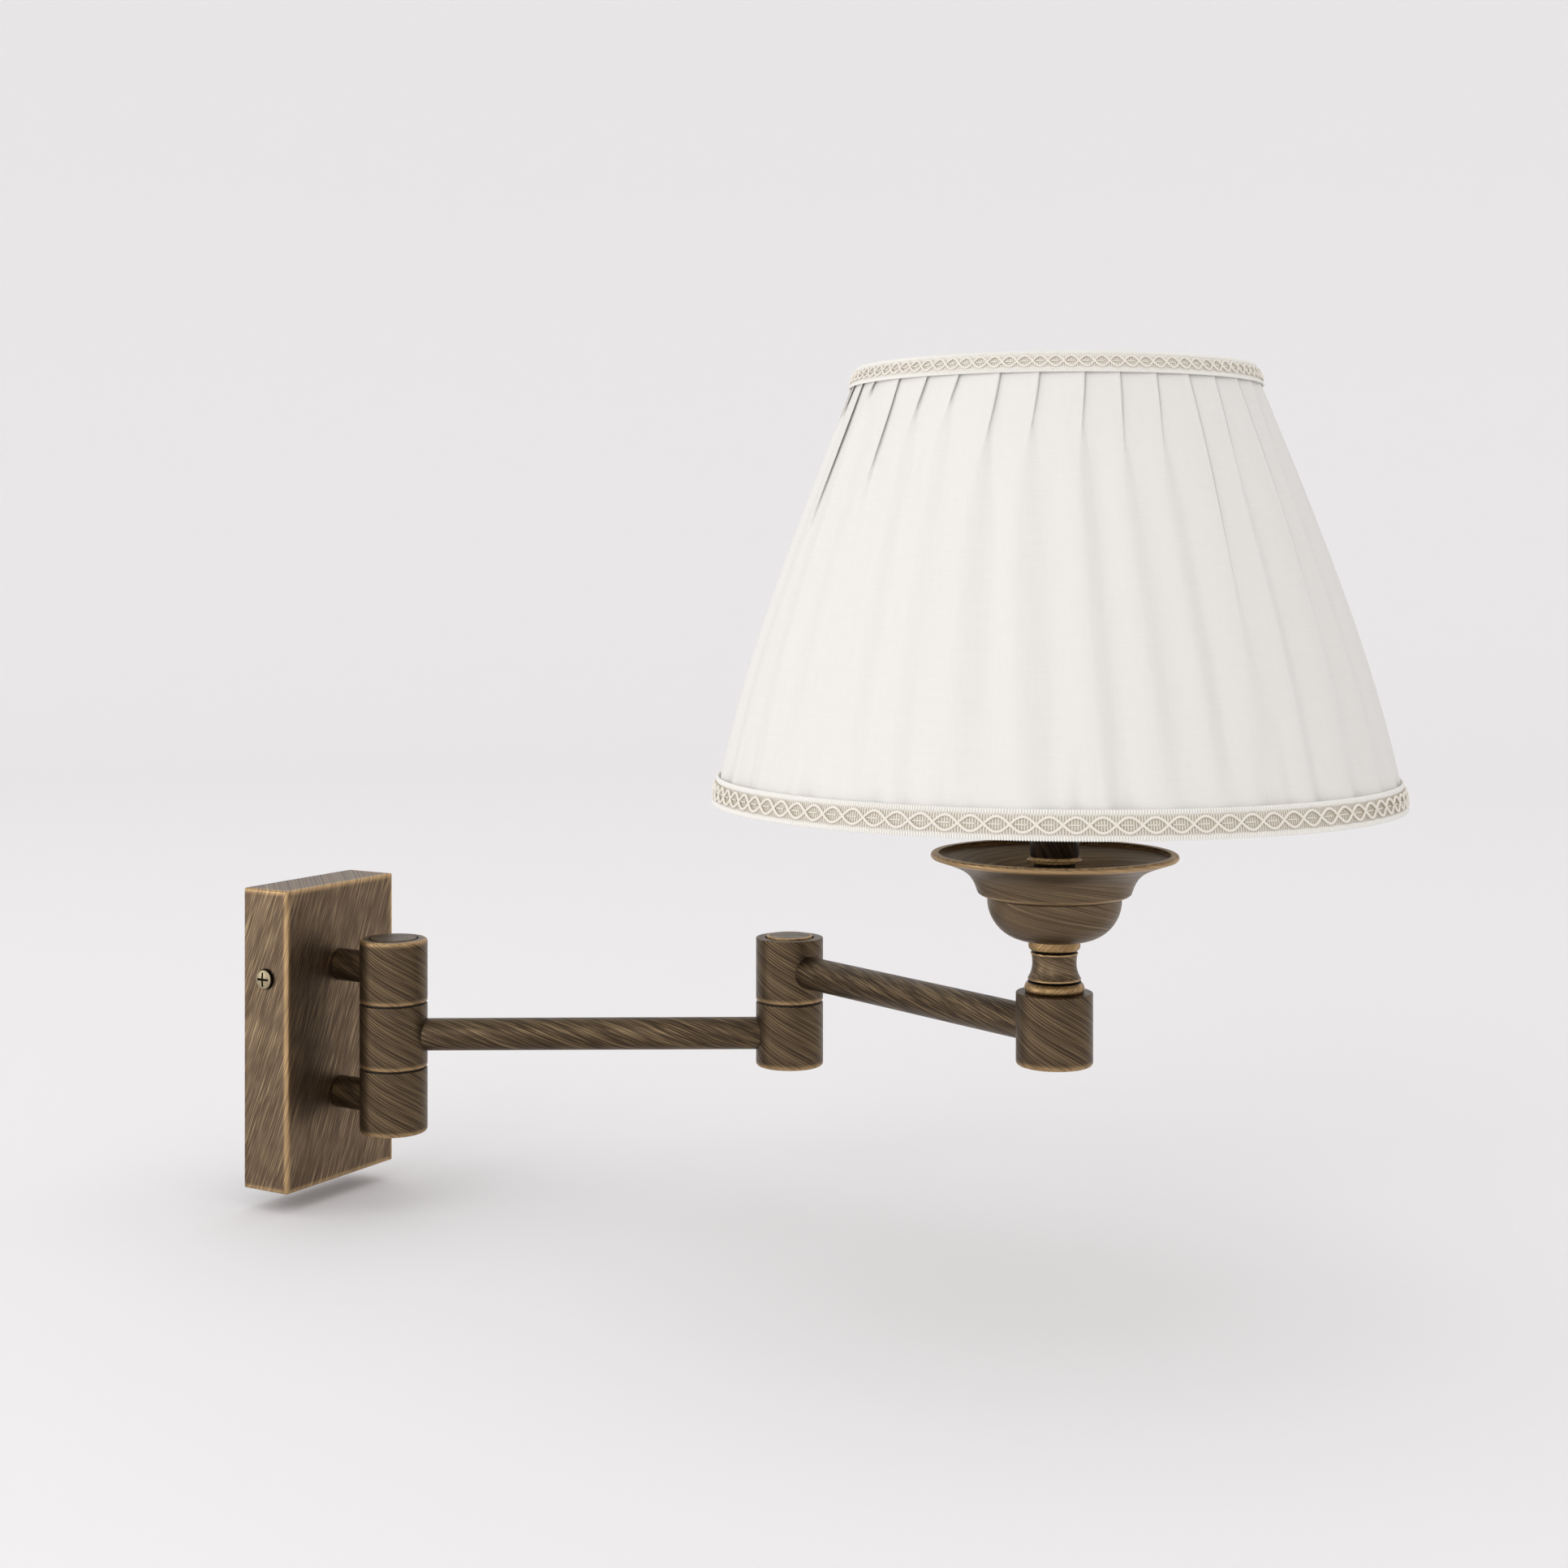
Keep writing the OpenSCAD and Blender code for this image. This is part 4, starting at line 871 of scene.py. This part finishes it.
# %% [markdown]
# ## The gimp braid
# Gimp is a narrow woven trimming that hides a shade's sewn edges. This one has a white tape with a
# white ribbed edge on each side, beige ribs across its middle, and two pale cords that cross and cross
# back, so that they enclose a chain of ovals with the ribs showing through. Each band is three pieces:
# cords, ribs and tape, one for each colour of thread. One repeat of each is drawn as tubes along short
# paths, in place on the shade's edge. Then Geometry Nodes carry it round the post as many times as the
# band has ovals, which is what the loom does. An array of separate objects would do too, but the tree
# keeps one adjustable count, and its merged ends make each cord one closed loop.

# %% Tubes for threads and cords


def tube(points, outward, radius, sides, capped, tapers=None):
    """A round tube through points, with outward as its up side at each. It leaves out the first and
    last point, which only give the direction, unless it is capped."""
    points = np.array(points)
    along = np.gradient(points, axis=0)
    if not capped:
        points, along, outward = points[1:-1], along[1:-1], outward[1:-1]
    along = along / np.linalg.norm(along, axis=1, keepdims=True)
    side = np.cross(along, outward)
    side = side / np.linalg.norm(side, axis=1, keepdims=True)
    up = np.cross(side, along)
    tapers = np.ones(len(points)) if tapers is None else np.array(tapers)
    around = np.linspace(0, math.tau, sides, endpoint=False)
    rings = [p + radius * t * (np.outer(np.cos(around), s) + np.outer(np.sin(around), u))
             for p, s, u, t in zip(points, side, up, tapers)]
    faces = [(i + j, i + (j + 1) % sides, i + sides + (j + 1) % sides, i + sides + j)
             for i in range(0, (len(points) - 1) * sides, sides) for j in range(sides)]
    if capped:
        faces += [tuple(range(sides))[::-1], tuple(range((len(points) - 1) * sides, len(points) * sides))]
    return np.concatenate(rings), faces


def joined(name, parts):
    """One mesh from several lists of points and faces."""
    points, faces, start = [], [], 0
    for part_points, part_faces in parts:
        points.append(part_points)
        faces += [tuple(v + start for v in face) for face in part_faces]
        start += len(part_points)
    mesh = bpy.data.meshes.new(name)
    mesh.from_pydata([tuple(p) for p in np.concatenate(points)], [], faces)
    solid = bmesh.new()
    solid.from_mesh(mesh)
    bmesh.ops.recalc_face_normals(solid, faces=solid.faces)
    solid.to_mesh(mesh)
    mesh.shade_smooth()
    return mesh


# %% [markdown]
# The tree itself is short: points, one instance of the repeat on each, a turn for each, real geometry,
# and the doubled points at the joins merged.

# %% A tree that carries one repeat round the post
carry = bpy.data.node_groups.new("carry a repeat round the post", "GeometryNodeTree")
for name, kind in (("Repeat", "NodeSocketObject"), ("Repeats", "NodeSocketInt"),
                   ("Post", "NodeSocketVector"), ("Material", "NodeSocketMaterial")):
    carry.interface.new_socket(name, in_out="INPUT", socket_type=kind)
carry.interface.new_socket("Geometry", in_out="OUTPUT", socket_type="NodeSocketGeometry")
given = add(carry, "NodeGroupInput").outputs
repeat = add(carry, "GeometryNodeObjectInfo", {"Object": given["Repeat"]})
row = add(carry, "GeometryNodePoints", {"Count": given["Repeats"]})
step = add(carry, "ShaderNodeMath", {1: given["Repeats"]}, {0: math.tau}, operation="DIVIDE")
number = add(carry, "GeometryNodeInputIndex")
turn = add(carry, "ShaderNodeMath", {0: step.outputs[0], 1: number.outputs[0]}, operation="MULTIPLY")
facing = add(carry, "ShaderNodeCombineXYZ", {"Z": turn.outputs[0]})
copies = add(carry, "GeometryNodeInstanceOnPoints", {
    "Points": row.outputs[0], "Instance": repeat.outputs["Geometry"], "Rotation": facing.outputs[0]})
placed = add(carry, "GeometryNodeTranslateInstances",
             {"Instances": copies.outputs[0], "Translation": given["Post"]}, {"Local Space": False})
real = add(carry, "GeometryNodeRealizeInstances", {0: placed.outputs[0]})
welded = add(carry, "GeometryNodeMergeByDistance", {"Geometry": real.outputs[0]}, {"Distance": 0.01 * MM})
finished = add(carry, "GeometryNodeSetMaterial",
               {"Geometry": welded.outputs[0], "Material": given["Material"]})
add(carry, "NodeGroupOutput", {"Geometry": finished.outputs[0]})
print("tree:", carry.name, "with", len(carry.nodes), "nodes")


def carried(name, repeat_mesh, repeats, material):
    """A plain mesh object: one repeat carried round the post by the tree."""
    pattern = bpy.data.objects.new(f"{name} repeat", repeat_mesh)
    piece = bpy.data.objects.new(name, bpy.data.meshes.new(name))
    bpy.context.scene.collection.objects.link(piece)
    modifier = piece.modifiers.new("carry", "NODES")
    modifier.node_group = carry
    inputs = {s.name: s.identifier for s in carry.interface.items_tree if s.in_out == "INPUT"}
    modifier[inputs["Repeat"]] = pattern
    modifier[inputs["Repeats"]] = repeats
    modifier[inputs["Post"]] = (post.x, post.y, 0.0)
    modifier[inputs["Material"]] = material
    evaluated = piece.evaluated_get(bpy.context.evaluated_depsgraph_get())
    whole = bpy.data.meshes.new_from_object(evaluated)
    piece.modifiers.remove(modifier)
    piece.data = whole
    bpy.data.objects.remove(pattern)
    whole.name = name
    return piece


# %% One repeat of the braid
EDGE_SHARE = 0.2
RIBS_PER_OVAL = 9
OVAL_HALF = 0.24
CORD_OUT = 1.2 * MM
CORD_LIFT = 0.15 * MM
CORD_RADIUS = 0.56 * MM
MIDDLE_CORD_OUT = 0.95 * MM
MIDDLE_CORD_RADIUS = 0.28 * MM
RIB_OUT = 0.35 * MM
EDGE_OUT = 0.55 * MM
TAPE_LOW, TAPE_HIGH = 0.05 * MM, 0.6 * MM
WIDE = 12.6 * MM


def band_of(trim):
    """The inner face of a CAD trim, from its lower edge to its upper one."""
    heights, radii = cad_outline(trim, np.min)
    return (heights[0], radii[0]), (heights[-1], radii[-1])


def braid(name, trim, ovals):
    """The crossing cords, the ribs and the tape of one band."""
    (low_z, low_r), (high_z, high_r) = band_of(trim)
    width = math.hypot(high_z - low_z, high_r - low_r)
    lean = Vector((high_z - low_z, 0, low_r - high_r)).normalized()
    wave = math.tau / ovals

    def place(angle, across, out):
        """An angle round the post, a share of the way up the band and a distance off its inner face."""
        r = low_r + (high_r - low_r) * across + out * lean.x
        z = low_z + (high_z - low_z) * across + out * lean.z
        return (r * math.cos(angle), r * math.sin(angle), z)

    def outwards(angles):
        """The direction straight off the band at each angle."""
        return np.array([(math.cos(a) * lean.x, math.sin(a) * lean.x, lean.z) for a in angles])

    steps = np.arange(-1, 14) / 12 * wave - wave / 2
    cords, ribs, tape = [], [], []
    for hand in (1, -1):
        path = [place(a, 0.5 + hand * OVAL_HALF * math.sin(math.pi * (a / wave + 0.5)),
                      CORD_OUT - hand * CORD_LIFT * math.cos(math.pi * (a / wave + 0.5))) for a in steps]
        cords.append(tube(path, outwards(steps), CORD_RADIUS * width / WIDE, 8, False))
    coarse = steps[::3]
    cords.append(tube([place(a, 0.5, MIDDLE_CORD_OUT) for a in coarse], outwards(coarse),
                      MIDDLE_CORD_RADIUS, 6, False))
    rib_radius = 0.52 * wave * low_r / RIBS_PER_OVAL
    for rib in range(RIBS_PER_OVAL):
        a = ((rib + 0.5) / RIBS_PER_OVAL - 0.5) * wave
        here = outwards([a] * 4)
        body = [place(a, share, RIB_OUT) for share in (EDGE_SHARE, 0.25, 0.75, 1 - EDGE_SHARE)]
        ribs.append(tube(body, here, 0.8 * rib_radius, 6, True, (0.75, 1, 1, 0.75)))
        for from_share in (0.0, 1 - EDGE_SHARE):
            edge = [place(a, from_share + EDGE_SHARE * t, EDGE_OUT) for t in (0.03, 0.2, 0.8, 0.97)]
            tape.append(tube(edge, here, rib_radius, 6, True, (0.45, 1, 1, 0.45)))
    corners = [(0.04, TAPE_LOW), (0.04, TAPE_HIGH), (0.96, TAPE_HIGH), (0.96, TAPE_LOW)]
    sides = [[place(a, *corner) for corner in corners] for a in (-wave / 2, 0, wave / 2)]
    walls = [(i + j, i + (j + 1) % 4, i + 4 + (j + 1) % 4, i + 4 + j) for i in (0, 4) for j in range(4)]
    tape.append((np.array(sides).reshape(-1, 3), walls))
    pieces = [carried(f"{name}_{part}", joined(f"{name}_{part}", tubes), ovals, finish)
              for part, tubes, finish in (("cords", cords, pale_thread), ("ribs", ribs, beige_thread),
                                          ("tape", tape, white_thread))]
    print(name, ovals, "ovals,", round(width / MM, 1), "mm wide,",
          [len(piece.data.polygons) for piece in pieces], "faces")
    return pieces


# %% [markdown]
# ## Thread
# Braid is made of mercerised cotton: thread with a slight gloss, twisted finely. The twist is finer
# than can be shown, so it is drawn as fine uneven noise about half a millimetre across.

# %% The threads, and both bands
TWIST = 0.5 * MM


def thread(name, colour, shadow):
    """Mercerised cotton thread."""
    material, tree, shader = new_material(name, {
        "Roughness": 0.62, "Specular IOR Level": 0.35, "Sheen Weight": 0.3, "Sheen Roughness": 0.5})
    where = add(tree, "ShaderNodeTexCoord")
    twist = add(tree, "ShaderNodeTexNoise", {"Vector": where.outputs["Object"]},
                {"Scale": 1 / TWIST, "Detail": 2.0})
    mixed = add(tree, "ShaderNodeMix", {0: twist.outputs["Fac"]}, {6: linear(shadow), 7: linear(colour)},
                data_type="RGBA")
    tree.links.new(mixed.outputs[2], shader.inputs["Base Color"])
    bump = add(tree, "ShaderNodeBump", {"Height": twist.outputs["Fac"]},
               {"Strength": 0.5, "Distance": 0.08 * MM})
    tree.links.new(bump.outputs[0], shader.inputs["Normal"])
    return material


pale_thread = thread("pale_beige_cotton_thread", "#f3eee5", "#e2dacb")
beige_thread = thread("beige_cotton_thread", "#c6bcaa", "#ada28f")
white_thread = thread("white_cotton_thread", "#f6f4ef", "#e9e5dd")
bottom_braid = braid("braid_bottom", "trim_bottom", 94)
top_braid = braid("braid_top", "trim_top", 90)

# %% [markdown]
# ## Riding on the lamp
# All the soft pieces belong to the outer arm, and each stands for the plain CAD solid that held its
# place, which is hidden. The cover and the lining are sheets.

# %% Who moves with what
soft_pieces = [(shade_cloth, "shade_fabric", "ivory_cloth"), (inner_lining, "shade_lining", "lining_cloth")]
soft_pieces += [(piece, "trim_bottom", "beige_braid") for piece in bottom_braid]
soft_pieces += [(piece, "trim_top", "beige_braid") for piece in top_braid]
for piece, node, slot in soft_pieces:
    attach(piece, "outer_arm")
    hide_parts(node)
print(len(soft_pieces), "soft pieces ride on the outer arm")
